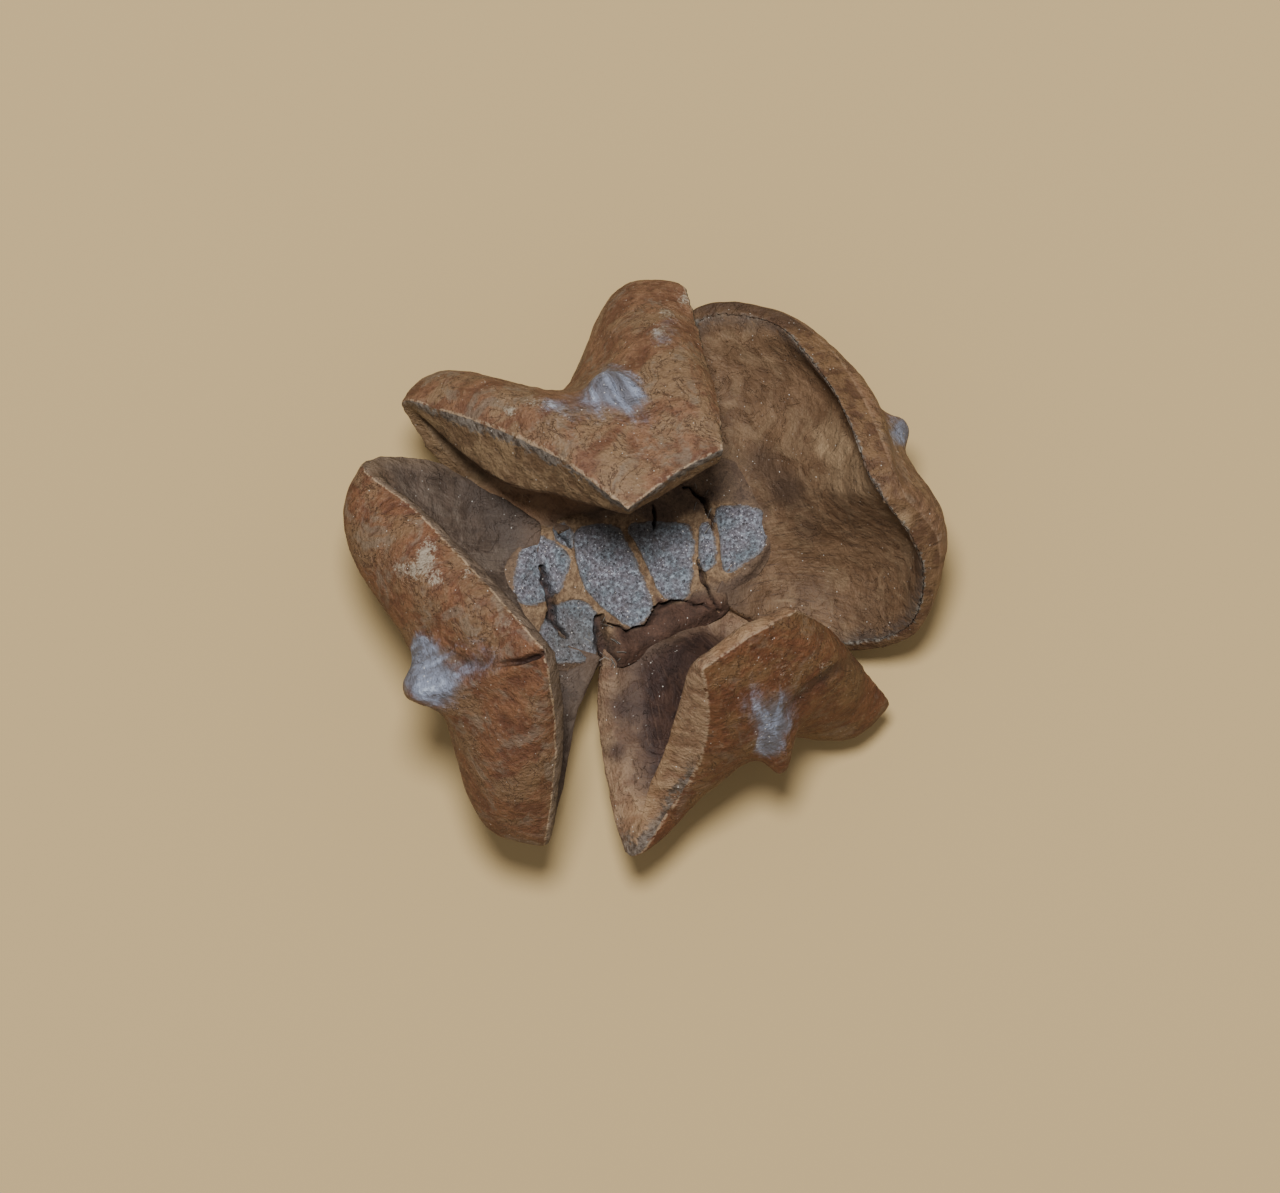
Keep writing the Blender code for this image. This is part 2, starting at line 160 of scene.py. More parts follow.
def make_mesh(name, points, faces, fields):
    """A piece with its numbers for the material stored on its vertices."""
    mesh = bpy.data.meshes.new(name)
    mesh.from_pydata(points.tolist(), [], faces)
    for key, values in fields.items():
        mesh.attributes.new(key, "FLOAT", "POINT").data.foreach_set("value", values.astype(np.float32))
    mesh.shade_smooth()
    obj = bpy.data.objects.new(name, mesh)
    bpy.context.scene.collection.objects.link(obj)
    return obj


class Field:
    """A node's output. Sums with it add the Math or Vector Math nodes that work them out."""

    def __init__(self, socket):
        self.socket = socket

    def math(self, operation, *operands):
        terms = (self, *operands)
        sockets = [term.socket.type for term in terms if isinstance(term, Field)]
        wide = {"VECTOR", "RGBA"} & set(sockets) or any(isinstance(term, tuple) for term in terms)
        kind = "ShaderNodeVectorMath" if wide else "ShaderNodeMath"
        return add_node(self.socket.id_data, kind, dict(enumerate(terms)), operation=operation)

    def __add__(self, other):
        return self.math("ADD", other)

    def __radd__(self, other):
        return self.math("ADD", other)

    def __sub__(self, other):
        return self.math("SUBTRACT", other)

    def __rsub__(self, other):
        return add_node(self.socket.id_data, "ShaderNodeMath", {0: other, 1: self}, operation="SUBTRACT")

    def __mul__(self, other):
        return self.math("MULTIPLY", other)

    def __rmul__(self, other):
        return self.math("MULTIPLY", other)

    def __truediv__(self, other):
        return self.math("DIVIDE", other)

    def step(self, low, high):
        """0 at low, 1 at high, and a smooth rise between; low may be above high."""
        inputs = {"Value": self, "From Min": low, "From Max": high}
        return add_node(self.socket.id_data, "ShaderNodeMapRange", inputs, interpolation_type="SMOOTHSTEP")

    def mix(self, a, b):
        """The colour a where this is 0, and b where it is 1."""
        inputs = {0: self, 6: a, 7: b}
        return add_node(self.socket.id_data, "ShaderNodeMix", inputs, output=2, data_type="RGBA")


def add_node(tree, kind, inputs=None, output=0, **settings):
    """Adds a node: its settings first, then its inputs' values or links. Returns an output."""
    node = tree.nodes.new(kind)
    for key, value in settings.items():
        setattr(node, key, value)
    for key, value in (inputs or {}).items():
        socket = node.inputs[key]
        if isinstance(value, Field):
            tree.links.new(value.socket, socket)
        elif socket.type == "RGBA":
            socket.default_value = (*value[:3], 1)
        elif socket.type == "VECTOR" and isinstance(value, (int, float)):
            socket.default_value = (value, value, value)
        else:
            socket.default_value = value
    return Field(node.outputs[output])


def noise(tree, place, per_mm, detail=2.0, rough=0.5, twist=0.0):
    """Cloudy values round 0.5, with about per_mm lumps in a millimetre."""
    inputs = {"Vector": place, "Scale": per_mm, "Detail": detail, "Roughness": rough, "Distortion": twist}
    return add_node(tree, "ShaderNodeTexNoise", inputs)


def spots(tree, place, per_mm):
    """The distance to the nearest of scattered points, 0 at a point."""
    return add_node(tree, "ShaderNodeTexVoronoi", {"Vector": place, "Scale": per_mm})


def attribute(tree, name):
    return add_node(tree, "ShaderNodeAttribute", output=2, attribute_name=name)


def new_material(name):
    """A material with its tree, its Principled BSDF, and places in mm for its patterns."""
    material = bpy.data.materials.new(name)
    material.use_nodes = True
    tree = material.node_tree
    place = add_node(tree, "ShaderNodeTexCoord", output=3) * (1000.0, 1000.0, 1000.0)
    return material, tree, tree.nodes["Principled BSDF"], place


def finish_material(tree, shader, colour, roughness, reliefs):
    """Links the colour and roughness, and one Bump after another: (height, depth in mm)."""
    tree.links.new(colour.socket, shader.inputs["Base Color"])
    tree.links.new(roughness.socket, shader.inputs["Roughness"])
    shader.inputs["Specular IOR Level"].default_value = 0.25
    normal = None
    for height, depth in reliefs:
        inputs = {"Strength": 1.0, "Distance": depth * MM, "Height": height}
        if normal:
            inputs["Normal"] = normal
        normal = add_node(tree, "ShaderNodeBump", inputs)
    tree.links.new(normal.socket, shader.inputs["Normal"])


def new_tree(name, inputs):
    """A geometry node tree with a geometry in and out, and the named inputs: (kind, value)."""
    tree = bpy.data.node_groups.new(name, "GeometryNodeTree")
    tree.interface.new_socket("Geometry", in_out="INPUT", socket_type="NodeSocketGeometry")
    for key, (kind, value) in inputs.items():
        socket = tree.interface.new_socket(key, in_out="INPUT", socket_type="NodeSocket" + kind)
        if value is not None:
            socket.default_value = value
    tree.interface.new_socket("Geometry", in_out="OUTPUT", socket_type="NodeSocketGeometry")
    given = tree.nodes.new("NodeGroupInput").outputs
    return tree, {socket.name: Field(socket) for socket in given if socket.name}


def finish_tree(tree, geometry, material):
    whole = add_node(tree, "GeometryNodeRealizeInstances", {"Geometry": geometry})
    painted = add_node(tree, "GeometryNodeSetMaterial", {"Geometry": whole, "Material": material})
    result = tree.nodes.new("NodeGroupOutput")
    tree.links.new(painted.socket, result.inputs["Geometry"])
    return tree


def relief_tree():
    """Geometry nodes that raise a grown surface: broad lumps, then wrinkles, in mm."""
    inputs = {
        "Lump Size": ("Float", 1.6), "Lump Height": ("Float", 0.1), "Wrinkle Size": ("Float", 0.4),
        "Wrinkle Height": ("Float", 0.03), "Crumble Height": ("Float", 0.12), "Seed": ("Float", 0.0),
        "Material": ("Material", None),
    }
    tree, given = new_tree("grown relief", inputs)
    place = add_node(tree, "GeometryNodeInputPosition")
    in_mm = place * (1000.0, 1000.0, 1000.0)
    height = None
    for kind in ("Lump", "Wrinkle"):
        inputs = {"Vector": in_mm / given[kind + " Size"], "W": given["Seed"], "Scale": 1.0, "Detail": 3.0}
        cloud = add_node(tree, "ShaderNodeTexNoise", inputs, noise_dimensions="4D")
        rise = (cloud - 0.5) * given[kind + " Height"] * (2 * MM)
        height = rise if height is None else height + rise
    # Broken and worn places crumble
    rough = add_node(tree, "GeometryNodeInputNamedAttribute", {"Name": "rough"}, data_type="FLOAT")
    cloud = add_node(tree, "ShaderNodeTexNoise", {"Vector": in_mm, "Scale": 3.2, "Detail": 3.0})
    height = height + (cloud - 0.5) * rough * given["Crumble Height"] * (2 * MM)
    # The stalk's flat end, where z is 0, stays flat
    up = add_node(tree, "ShaderNodeSeparateXYZ", {"Vector": in_mm}, output=2)
    height = height * up.step(0.02, 0.4)
    raised = add_node(tree, "GeometryNodeInputNormal").math("SCALE")
    tree.links.new(height.socket, raised.socket.node.inputs["Scale"])
    moved = add_node(tree, "GeometryNodeSetPosition", {"Geometry": given["Geometry"], "Offset": raised})
    return finish_tree(tree, moved, given["Material"])


def through_nodes(obj, tree, values):
    """The object's mesh becomes what the tree makes of it, with the inputs by name."""
    modifier = obj.modifiers.new("nodes", "NODES")
    modifier.node_group = tree
    for item in tree.interface.items_tree:
        if item.in_out == "INPUT" and item.name in values:
            modifier[item.identifier] = values[item.name]
    bpy.context.view_layer.update()
    mesh = bpy.data.meshes.new_from_object(obj.evaluated_get(bpy.context.evaluated_depsgraph_get()))
    mesh.name = obj.name
    obj.modifiers.remove(modifier)
    obj.data = mesh


def floor_outline(angle, spread):
    c, s = np.cos(angle), np.sin(angle)
    power = 2 / FLOOR_SQUARENESS
    x = np.sign(c) * np.abs(c) ** power * (FLOOR_HALF[0] + spread)
    y = np.sign(s) * np.abs(s) ** power * (FLOOR_HALF[1] + spread) + FLOOR_SHIFT
    return np.stack((x, y, 0 * x), axis=-1)


def core_rings():
    """Rings round the core, up the stalk and the underside and in across the floor."""
    angle = np.linspace(0, 2 * np.pi, CORE_COLUMNS, endpoint=False)
    bend = turned(STALK_BEND, -CORE_TURN)
    rings = []
    for share in np.linspace(0, 1, CORE_ROWS):
        up, spread = spline(CORE_PROFILE, np.array(share))
        spread = min(max(spread, 0.0), 1.0)
        stalk = np.stack((np.cos(angle), np.sin(angle), 0 * angle), axis=-1) * STALK_RADIUS
        stalk += bend * min(1, (spread - 1) ** 2 * -up / STALK_LENGTH)
        ring = stalk * (1 - spread) + floor_outline(angle, FLOOR_SPREAD * ease(up, *FLARE)) * spread
        ring[:, 2] = up + FLOOR_RISE * (ring[:, 0] / FLOOR_HALF[0]) ** 2 * spread
        ring[:, 2] -= FLOOR_DROOP * ease(up, *DROOP)
        rings.append(ring)
    outline = floor_outline(angle, FLOOR_SPREAD)
    middle = np.array((0, FLOOR_SHIFT, 0))
    for share in np.linspace(1, 0, FLOOR_ROWS + 1)[1:-1]:
        ring = middle * (1 - share) + outline * share
        ring[:, 2] = FLOOR_RISE * (ring[:, 0] / FLOOR_HALF[0]) ** 2
        rings.append(ring)
    return np.array(rings)


def to_outline(places, outline):
    """How far each place is from a smooth closed outline, in mm, and negative inside it."""
    turns = np.linspace(2, len(outline) + 2, 8 * len(outline) + 1)
    around = spline(outline[-2:] + outline + outline[:2], turns / (len(outline) + 3))
    away, _ = to_path(places, around)
    a, b = around[:-1], around[1:]
    x, y = places[:, :1], places[:, 1:]
    rise = np.where(a[:, 1] == b[:, 1], 1.0, b[:, 1] - a[:, 1])
    left = x < (b[:, 0] - a[:, 0]) * (y - a[:, 1]) / rise + a[:, 0]
    crossed = ((a[:, 1] > y) != (b[:, 1] > y)) & left
    return np.where(crossed.sum(axis=1) % 2 == 1, -away, away)


def to_cracks(places):
    """How deep in a crack each place is, from 0 to 1."""
    deepest = np.zeros(len(places))
    wander = np.sin(places @ np.array((7.1, 4.3)) + 1.5 * np.sin(places @ np.array((-4.7, 6.3))))
    for half, path in CRACKS:
        away, share = to_path(places + CRACK_WANDER * wander[:, None], path)
        width = half * np.clip(np.sin(np.pi * np.clip(share, 0.06, 0.94)), 0.1, 1) ** 0.6
        deepest = np.maximum(deepest, ease(away / width, 1.25, 0.35))
    return deepest


def glitter(tree, place, colour, more=0.0):
    """The colour with a scatter of tiny pale specks of resin and dust, painted as bright as glints, and where
    they are.
    """
    gate = noise(tree, place, 2.6, 3.0, 0.7) + more
    glint_specks = (spots(tree, place, 6.0) - gate * 0.28).step(0.0, -0.09) * gate.step(0.53, 0.66)
    return (glint_specks * 0.65).mix(colour, (0.72, 0.68, 0.61)), glint_specks


def core_material():
    material, tree, shader, place = new_material("core")
    keys = ("scar", "between", "floor", "crack", "dull_and_shadow", "ramp")
    scar, between, floor, crack, dull_and_shadow, ramp = (attribute(tree, key) for key in keys)
    ragged = noise(tree, place, 5.0, 3.0) - 0.5
    grain = noise(tree, place, 11.0, 3.0, 0.7)
    clots = noise(tree, place, 4.5, 3.0, 0.7)
    cloud = noise(tree, place, 1.3, 3.0)
    pits = spots(tree, place, 7.5).step(0.16, 0.36)
    wood = cloud.step(0.35, 0.65).mix((0.082, 0.052, 0.035), (0.130, 0.084, 0.052))
    wood = (clots.step(0.46, 0.3) * 0.6).mix(wood, (0.040, 0.026, 0.019))
    ochre = clots.step(0.35, 0.65).mix((0.105, 0.062, 0.034), (0.210, 0.138, 0.078))
    wood = (between * (cloud * 0.8 + 0.55)).step(0.2, 0.8).mix(wood, ochre)
    wood = ramp.mix(wood, cloud.step(0.3, 0.7).mix((0.040, 0.021, 0.014), (0.076, 0.039, 0.025)))
    pale = cloud.step(0.35, 0.65).mix((0.094, 0.112, 0.127), (0.127, 0.118, 0.135))
    pale = (clots.step(0.5, 0.68) * 0.6).mix(pale, (0.26, 0.30, 0.34))
    pale = (clots.step(0.48, 0.3) * 0.8).mix(pale, (0.095, 0.086, 0.088))
    pale = (pits * -0.45 + 0.45).mix(pale, (0.045, 0.040, 0.044))
    pale = (grain.step(0.54, 0.36) * 0.75).mix(pale, (0.068, 0.062, 0.070))
    pale = (grain.step(0.56, 0.7) * 0.3).mix(pale, (0.34, 0.39, 0.43))
    # Painted glints: tiny bright blue-white specks across the scars
    sparks = spots(tree, place + (5.0, 3.0, 0.0), 8.0).step(0.2, 0.1)
    pale = (sparks * cloud.step(0.4, 0.6) * 0.6).mix(pale, (0.60, 0.63, 0.68))
    # Painted shadow: the top scale's tip's shadow darkens the scars below it; elsewhere one scar is only
    # duller
    pale = (dull_and_shadow * 0.6).mix(pale, (0.085, 0.073, 0.062))
    rim = scar.step(-0.14, -0.02) * 0.45
    pale = rim.mix(pale, (0.150, 0.135, 0.125))
    inside = (scar + ragged * 0.2).step(0.03, -0.04) * floor
    colour = inside.mix(wood, pale)
    colour = colour * (grain * 1.6 + 0.2)
    # The cracks are painted dark inside: the wood's own brown, deepened by painted shade, darkest where
    # deepest
    gap = clots.step(0.4, 0.6).mix((0.010, 0.006, 0.005), (0.045, 0.024, 0.018))
    colour = (crack * 0.92).mix(colour, gap)
    # Painted glints: tiny bright specks of resin and dust
    colour, _ = glitter(tree, place, colour, 0.03)
    roughness = grain * 0.2 + 0.7
    relief = [(pits * inside, 0.03), (clots, 0.08), (grain, 0.03)]
    finish_material(tree, shader, colour, roughness, relief)
    return material


rings = core_rings()
rows, columns = rings.shape[:2]
flat = rings.reshape(-1, 3)
on_floor = np.repeat(np.arange(rows) >= CORE_ROWS, columns).astype(float)
share = np.repeat(np.clip(1 - (np.arange(rows) - CORE_ROWS + 1) / FLOOR_ROWS, 0, 1), columns)
seen = from_above(turned(flat, CORE_TURN))
to_scars = np.sort([to_outline(seen, outline) for outline in SCARS], axis=0)
scar = to_scars[0]
between = ease(to_scars[0] + to_scars[1], 1.5, 0.5) * ease(scar, -0.05, 0.04)
crack = to_cracks(seen) * on_floor
flat[:, 2] -= on_floor * (SCAR_STEP * ease(scar, 0.02, -0.06) + SCAR_BOWL * ease(scar, 0.1, -0.8))
x, y = seen.T
ramp = ease(x, *RAMP_LEFT) * ease(x, *RAMP_RIGHT) * ease(y, *RAMP_TOP) * ease(scar, 0.06, 0.16) * on_floor
flat[:, 2] += ramp * RAMP_HEIGHT * ease(scar, 0.1, 0.9) * ease(share, 1.0, 0.8)
flat[:, 1] -= ramp * RAMP_REACH * ease(share, 0.75, 1.0)
flat[:, 2] -= on_floor * FLOOR_DROOP * ease(share, 0.84, 1.0) ** 1.5 * (1 - 0.5 * ramp)
flat[:, 2] += on_floor * RIDGE_HEIGHT * between
flat[:, 2] -= CRACK_DEPTH * crack
points = lying(turned(flat, CORE_TURN))
# The stalk ends at the ground, flat
rings = points.reshape(rows, columns, 3)
for r in range(CORE_ROWS - 2, -1, -1):
    low, high = rings[r, :, 2:], rings[r + 1, :, 2:]
    cut = np.where(low < 0, np.clip(high / np.maximum(high - low, 1e-9), 0, 1), 1.0)
    rings[r] = rings[r + 1] + (rings[r] - rings[r + 1]) * cut
index = np.arange(rows * columns).reshape(rows, columns)
after = np.roll(index, -1, axis=1)
faces = np.stack((index[:-1], after[:-1], after[1:], index[1:]), axis=-1).reshape(-1, 4).tolist()
faces += [index[0, ::-1].tolist(), index[-1].tolist()]
dull_and_shadow = np.zeros(len(seen))
for middle_x, middle_y, wide, tall, strength in DULL_AND_SHADOW_SPOTS:
    dull_and_shadow += strength * np.exp(-((x - middle_x) ** 2) / wide**2 - (y - middle_y) ** 2 / tall**2)
fields = {
    "scar": scar, "between": between * (1 - ramp), "floor": on_floor, "crack": crack, "rough": crack,
    "dull_and_shadow": dull_and_shadow, "ramp": ramp,
}
core = make_mesh("core", points, faces, fields)
grown_relief = relief_tree()
core_relief = {
    "Lump Size": 1.0, "Lump Height": 0.07, "Wrinkle Size": 0.3, "Wrinkle Height": 0.04, "Seed": 1.0,
    "Material": core_material(),
}
through_nodes(core, grown_relief, core_relief)
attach(core, "root")
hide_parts("cone_core")

# Torn fibres: stiff pale strands of the core's wood, still fast at one end, that stand in its
# cracks where the drying wood pulled apart.
def fibre_tree():
    """Geometry nodes that stand bent strands on a strip, with lengths in mm."""
    inputs = {
        "Length": ("Float", 0.5), "Thickness": ("Float", 0.024), "Per Square Mm": ("Float", 9.0),
        "Seed": ("Int", 0), "Material": ("Material", None),
    }
    tree, given = new_tree("torn fibres", inputs)
    strip = {"Mesh": given["Geometry"], "Density": given["Per Square Mm"] * 1.0e6, "Seed": given["Seed"]}
    roots = add_node(tree, "GeometryNodeDistributePointsOnFaces", strip)
    length = given["Length"] * MM
    bend = {
        "Start": (0, 0, -0.1), "Start Handle": (0.3, 0, 0.15), "End Handle": (0.7, 0.2, 0.3),
        "End": (1, 0.3, 0.1),
    }
    bends = {
        key: add_node(tree, "ShaderNodeCombineXYZ", {"X": length * x, "Y": length * y, "Z": length * z})
        for key, (x, y, z) in bend.items()
    }
    strand = add_node(tree, "GeometryNodeCurvePrimitiveBezierSegment", {"Resolution": 5, **bends})
    ring_inputs = {"Resolution": 5, "Radius": given["Thickness"] * (0.5 * MM)}
    ring = add_node(tree, "GeometryNodeCurvePrimitiveCircle", ring_inputs)
    tube_inputs = {"Curve": strand, "Profile Curve": ring, "Fill Caps": True}
    tube = add_node(tree, "GeometryNodeCurveToMesh", tube_inputs)
    turn_inputs = {0: (-0.3, -0.5, 0.0), 1: (0.3, 0.2, 6.28), "Seed": given["Seed"]}
    turn = add_node(tree, "FunctionNodeRandomValue", turn_inputs, data_type="FLOAT_VECTOR")
    size_inputs = {2: 0.4, 3: 1.3, "Seed": given["Seed"]}
    size = add_node(tree, "FunctionNodeRandomValue", size_inputs, output=1, data_type="FLOAT")
    placed_inputs = {"Points": roots, "Instance": tube, "Rotation": turn, "Scale": size}
    return finish_tree(tree, add_node(tree, "GeometryNodeInstanceOnPoints", placed_inputs), given["Material"])


def fibre_material():
    material, tree, shader, place = new_material("fibres")
    tone = noise(tree, place, 3.0).step(0.35, 0.65)
    colour = tone.mix((0.05, 0.04, 0.03), (0.20, 0.19, 0.17))
    finish_material(tree, shader, colour, tone * 0.2 + 0.6, [(tone, 0.02)])
    return material


floor_tree = KDTree(len(seen))
for i in np.flatnonzero((on_floor > 0) & (crack < 0.3)):
    floor_tree.insert((*seen[i], 0), i)
floor_tree.balance()
strip_points, strip_faces = [], []
for half, path in (CRACKS[1], CRACKS[3]):
    for k, run in enumerate(np.linspace(0.1, 0.9, 9)):
        middle, ahead = spline(path, np.array((run, run + 0.05)))
        across = np.array((ahead[1] - middle[1], middle[0] - ahead[0]))
        across *= 1.2 * half / np.linalg.norm(across)
        for place in (middle - across, middle + across):
            strip_points.append(points[floor_tree.find((*place, 0))[1]])
        if k:
            n = len(strip_points)
            strip_faces.append((n - 4, n - 3, n - 1, n - 2))
fibres = make_mesh("torn_fibres", np.array(strip_points), strip_faces, {})
strands = {"Length": 0.3, "Per Square Mm": 12.0, "Seed": 4, "Material": fibre_material()}
through_nodes(fibres, fibre_tree(), strands)
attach(fibres, "root")
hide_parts("cone_core")

# The right scale: one of the broad pair, opened furthest, so that its inner face looks up.
# Thick dry wood: a red-brown skin outside, an ochre contact face along the edge where the
# scales met, and inside two smooth brown hollows, lined from foot to rim, that held the seeds.
SCALE_ROWS = 150
SCALE_COLUMNS = 150
EDGE_ROWS = 12
EASING_ROUNDS = 14
RIM_EASING = 0.6
EDGE_EASING = 0.4
SKIN_EASING = 0.25
# How far from its foot a spine draws the outer face along: hardly, and fully, in mm
SPINE_REACH = (2.2, 1.4)
# How far from an edge it is worn, in mm, and a distance past all of a scale's wood
WORN_WIDTH = 0.14
FAR = 9.0
RIGHT_SCALE = {
    "azimuth": 26.0,
    "left_edge": [
        (3.0, 1.6, -0.3), (3.7, 4.6, -0.6), (5.4, 7.1, 0.2), (7.5, 6.1, 2.0),
        (8.1, 4.1, 4.0), (7.8, 2.3, 6.0), (7.2, 0.3, 7.8),
    ],
    "left_rim": [
        (2.9, 1.4, 0.2), (3.6, 4.3, -0.2), (5.2, 6.7, 0.4), (7.0, 5.9, 2.4),
        (7.2, 4.2, 4.4), (6.9, 2.6, 6.3), (6.3, 0.3, 7.8),
    ],
    "right_edge": [
        (1.9, -2.0, -0.3), (3.6, -4.3, -0.6), (5.6, -5.7, 0.3), (7.0, -5.8, 2.4),
        (7.7, -4.4, 4.6), (8.0, -2.7, 6.3), (7.2, -0.8, 7.7),
    ],
    "right_rim": [
        (1.9, -1.8, 0.2), (3.5, -4.0, -0.2), (5.4, -5.3, 0.6), (6.8, -5.4, 2.8),
        (7.3, -4.0, 5.0), (7.1, -2.4, 6.6), (6.4, -0.5, 7.8),
    ],
    "furrow": [
        (1.6, 0.0, -2.3), (4.4, 0.2, -2.5), (6.9, 0.6, -0.8), (8.3, 0.8, 2.0),
        (8.4, 1.0, 5.0), (7.2, -0.3, 7.8),
    ],
    "inner": [
        (4.6, 0.0, 0.2), (5.2, 0.0, 1.2), (6.0, -0.1, 3.0), (6.4, -0.2, 4.7),
        (6.6, -0.2, 6.2), (6.4, -0.1, 7.8),
    ],
    "lobes": [(0.3, 0.3), (1.1, 1.1), (0.9, 1.2), (0.5, 1.0), (0.3, 0.6), (0.0, 0.0)],
    "hollow": [0.1, 0.5, 0.8, 0.8, 0.5, 0.0],
    "bevel": 0.35, "worn_edge": 0.2, "worn_rim": 0.7,
    "spine": ((8.1, 0.9, 4.1), (9.3, 0.9, 4.3), 2.2),
}
# Marks in mm right and up of the floor's middle, from above: (x, y, radius, strength)
RIGHT_MARKS = {
    "bloom": [(8.8, 4.7, 0.7, 1.0)],
    "warm": [
        (6.2, 4.4, 0.75, 0.9), (6.9, 3.5, 0.8, 0.9), (7.5, 2.6, 0.6, 0.8), (8.6, 1.7, 0.5, 0.8),
        (6.4, 2.6, 0.5, 0.5), (4.2, 7.4, 1.1, 0.3),
    ],
    "shade": [
        (4.9, 2.7, 0.7, 1.0), (4.0, 3.7, 0.8, 0.8), (7.6, -1.3, 0.9, 0.5), (5.8, -0.6, 0.9, 0.5),
        (5.6, 1.4, 0.6, 0.6), (3.4, 2.1, 0.7, 0.6), (2.0, 9.1, 0.7, 0.9), (3.2, 9.1, 0.7, 0.9),
        (4.5, 8.9, 0.7, 0.9), (5.3, 8.4, 0.5, 0.7), (2.3, 6.0, 0.6, 0.4),
    ],
}


def swell(x):
    """A lobe across half a face: nothing at the furrow (0) and the edge (1), 1 at its top."""
    top = 3 ** (-1 / 3)
    return (x / top) ** 1.5 * (1 - x**3) / (1 - top**3)


def outward(scale, s, v):
    """The direction out of the outer face, and the edge and furrow there."""
    before, after = np.maximum(v - 0.02, 0), np.minimum(v + 0.02, 1)
    side = np.where(s >= 0, 1.0, -1.0)[..., None]
    edge = np.where(side > 0, spline(scale["left_edge"], v), spline(scale["right_edge"], v))
    furrow = spline(scale["furrow"], v)
    forward = spline(scale["furrow"], after) - spline(scale["furrow"], before)
    out = side * np.cross(edge - furrow, forward)
    return out / np.linalg.norm(out, axis=-1, keepdims=True), edge, furrow


def outer_face(scale, s, v):
    out, edge, furrow = outward(scale, s, v)
    lobes = spline(scale["lobes"], v)
    lobe = np.where(s >= 0, lobes[..., 0], lobes[..., 1])
    x = np.abs(s)[..., None]
    return furrow + (edge - furrow) * x + out * lobe[..., None] * swell(x)


def inner_face(scale, s, v):
    out, _, _ = outward(scale, s, v)
    rim = np.where(s[..., None] >= 0, spline(scale["left_rim"], v), spline(scale["right_rim"], v))
    middle = spline(scale["inner"], v)
    depth = spline(scale["hollow"], v) * np.sin(np.pi * s) ** 2
    return middle + (rim - middle) * np.abs(s)[..., None] + out * depth[..., None]


def eased(points, faces, weight, times):
    """Points drawn towards the middle of their neighbours, as far as each one's weight lets."""
    quads = np.array(faces)
    ends = np.concatenate([quads[:, [k, (k + 1) % 4]] for k in range(4)])
    here, there = np.concatenate((ends[:, 0], ends[:, 1])), np.concatenate((ends[:, 1], ends[:, 0]))
    count = np.bincount(here, minlength=len(points))
    for _ in range(times):
        sums = [np.bincount(here, points[there, k], len(points)) for k in range(3)]
        middle = np.stack(sums, axis=-1) / count[:, None]
        points = points + weight[:, None] * (middle - points)
    return points


def grow_spine(scale, outer):
    """Draws the outer face out into the blunt spine."""
    root, tip, width = (np.array(part) for part in scale["spine"])
    away = np.linalg.norm(outer - root - (tip - root) * 0.25, axis=-1)
    foot = outer.reshape(-1, 3)[np.argmin(away)].copy()
    axis = (tip - foot) / np.linalg.norm(tip - foot)
    offset = outer - foot
    aside = np.linalg.norm(offset - (offset @ axis)[..., None] * axis, axis=-1) / (width / 2)
    near = ease(np.linalg.norm(offset, axis=-1), *SPINE_REACH)
    outer += ((1 / (1 + (aside / 0.55) ** 3)) * near)[..., None] * (tip - foot)


def border(rows, columns):
    """The grid places round the border: up the left, over the tip, down the right, back."""
    path = [(r, columns) for r in range(rows)] + [(rows, c) for c in range(columns, 0, -1)]
    return path + [(r, 0) for r in range(rows, 0, -1)] + [(0, c) for c in range(columns)]


def far_from(points, line):
    """How far each point is from the nearest point of a line, in mm."""
    tree = KDTree(len(line))
    for i, p in enumerate(line):
        tree.insert(p, i)
    tree.balance()
    return np.array([tree.find(p)[2] for p in points])


def marked(places, heights, chosen, marks):
    """How strongly the chosen places are marked by soft round marks, from 0 up."""
    total = np.zeros(len(places))
    for x, y, radius, strength in marks:
        aside = np.where(chosen, np.hypot(places[:, 0] - x, places[:, 1] - y), 99.0)
        top = heights[aside < aside.min() + 0.2].max()
        total += strength * np.exp(-(aside**2 + (0.4 * (heights - top)) ** 2) / radius**2)
    return total * chosen


def closed_faces(r, c, count):
    """The faces of a closed scale: its outer face, its inner face turned over, and the strip."""
    index = np.arange(count).reshape(SCALE_ROWS + 1, SCALE_COLUMNS + 1)
    quads = np.stack((index[:-1, :-1], index[:-1, 1:], index[1:, 1:], index[1:, :-1]), axis=-1).reshape(-1, 4)
    loops = [index[r, c]]
    loops += [2 * count + k * len(r) + np.arange(len(r)) for k in range(EDGE_ROWS - 1)]
    loops += [index[r, c] + count]
    parts = [quads, quads[:, ::-1] + count]
    for low, high in zip(loops, loops[1:]):
        parts.append(np.stack((low, high, np.roll(high, -1), np.roll(low, -1)), axis=-1))
    return np.concatenate(parts).tolist()


def from_borders(outer, inner, r, c):
    """How far every point is from the skin's edge, negative on the skin, and from the inner
    face's rim, negative outside it. The foot's own border doesn't count."""
    count = outer[..., 0].size
    free = r > 0
    lip = np.linalg.norm(inner[r, c] - outer[r, c], axis=-1)
    shares = np.arange(1, EDGE_ROWS)[:, None] / EDGE_ROWS
    to_edge = -far_from(outer.reshape(-1, 3), outer[r, c][free])
    to_rim = far_from(inner.reshape(-1, 3), inner[r, c][free])
    edge = np.concatenate([to_edge, np.full(count, FAR), (lip * shares).ravel()])
    rim = np.concatenate([np.full(count, -FAR), to_rim, (lip * (shares - 1)).ravel()])
    return edge, rim


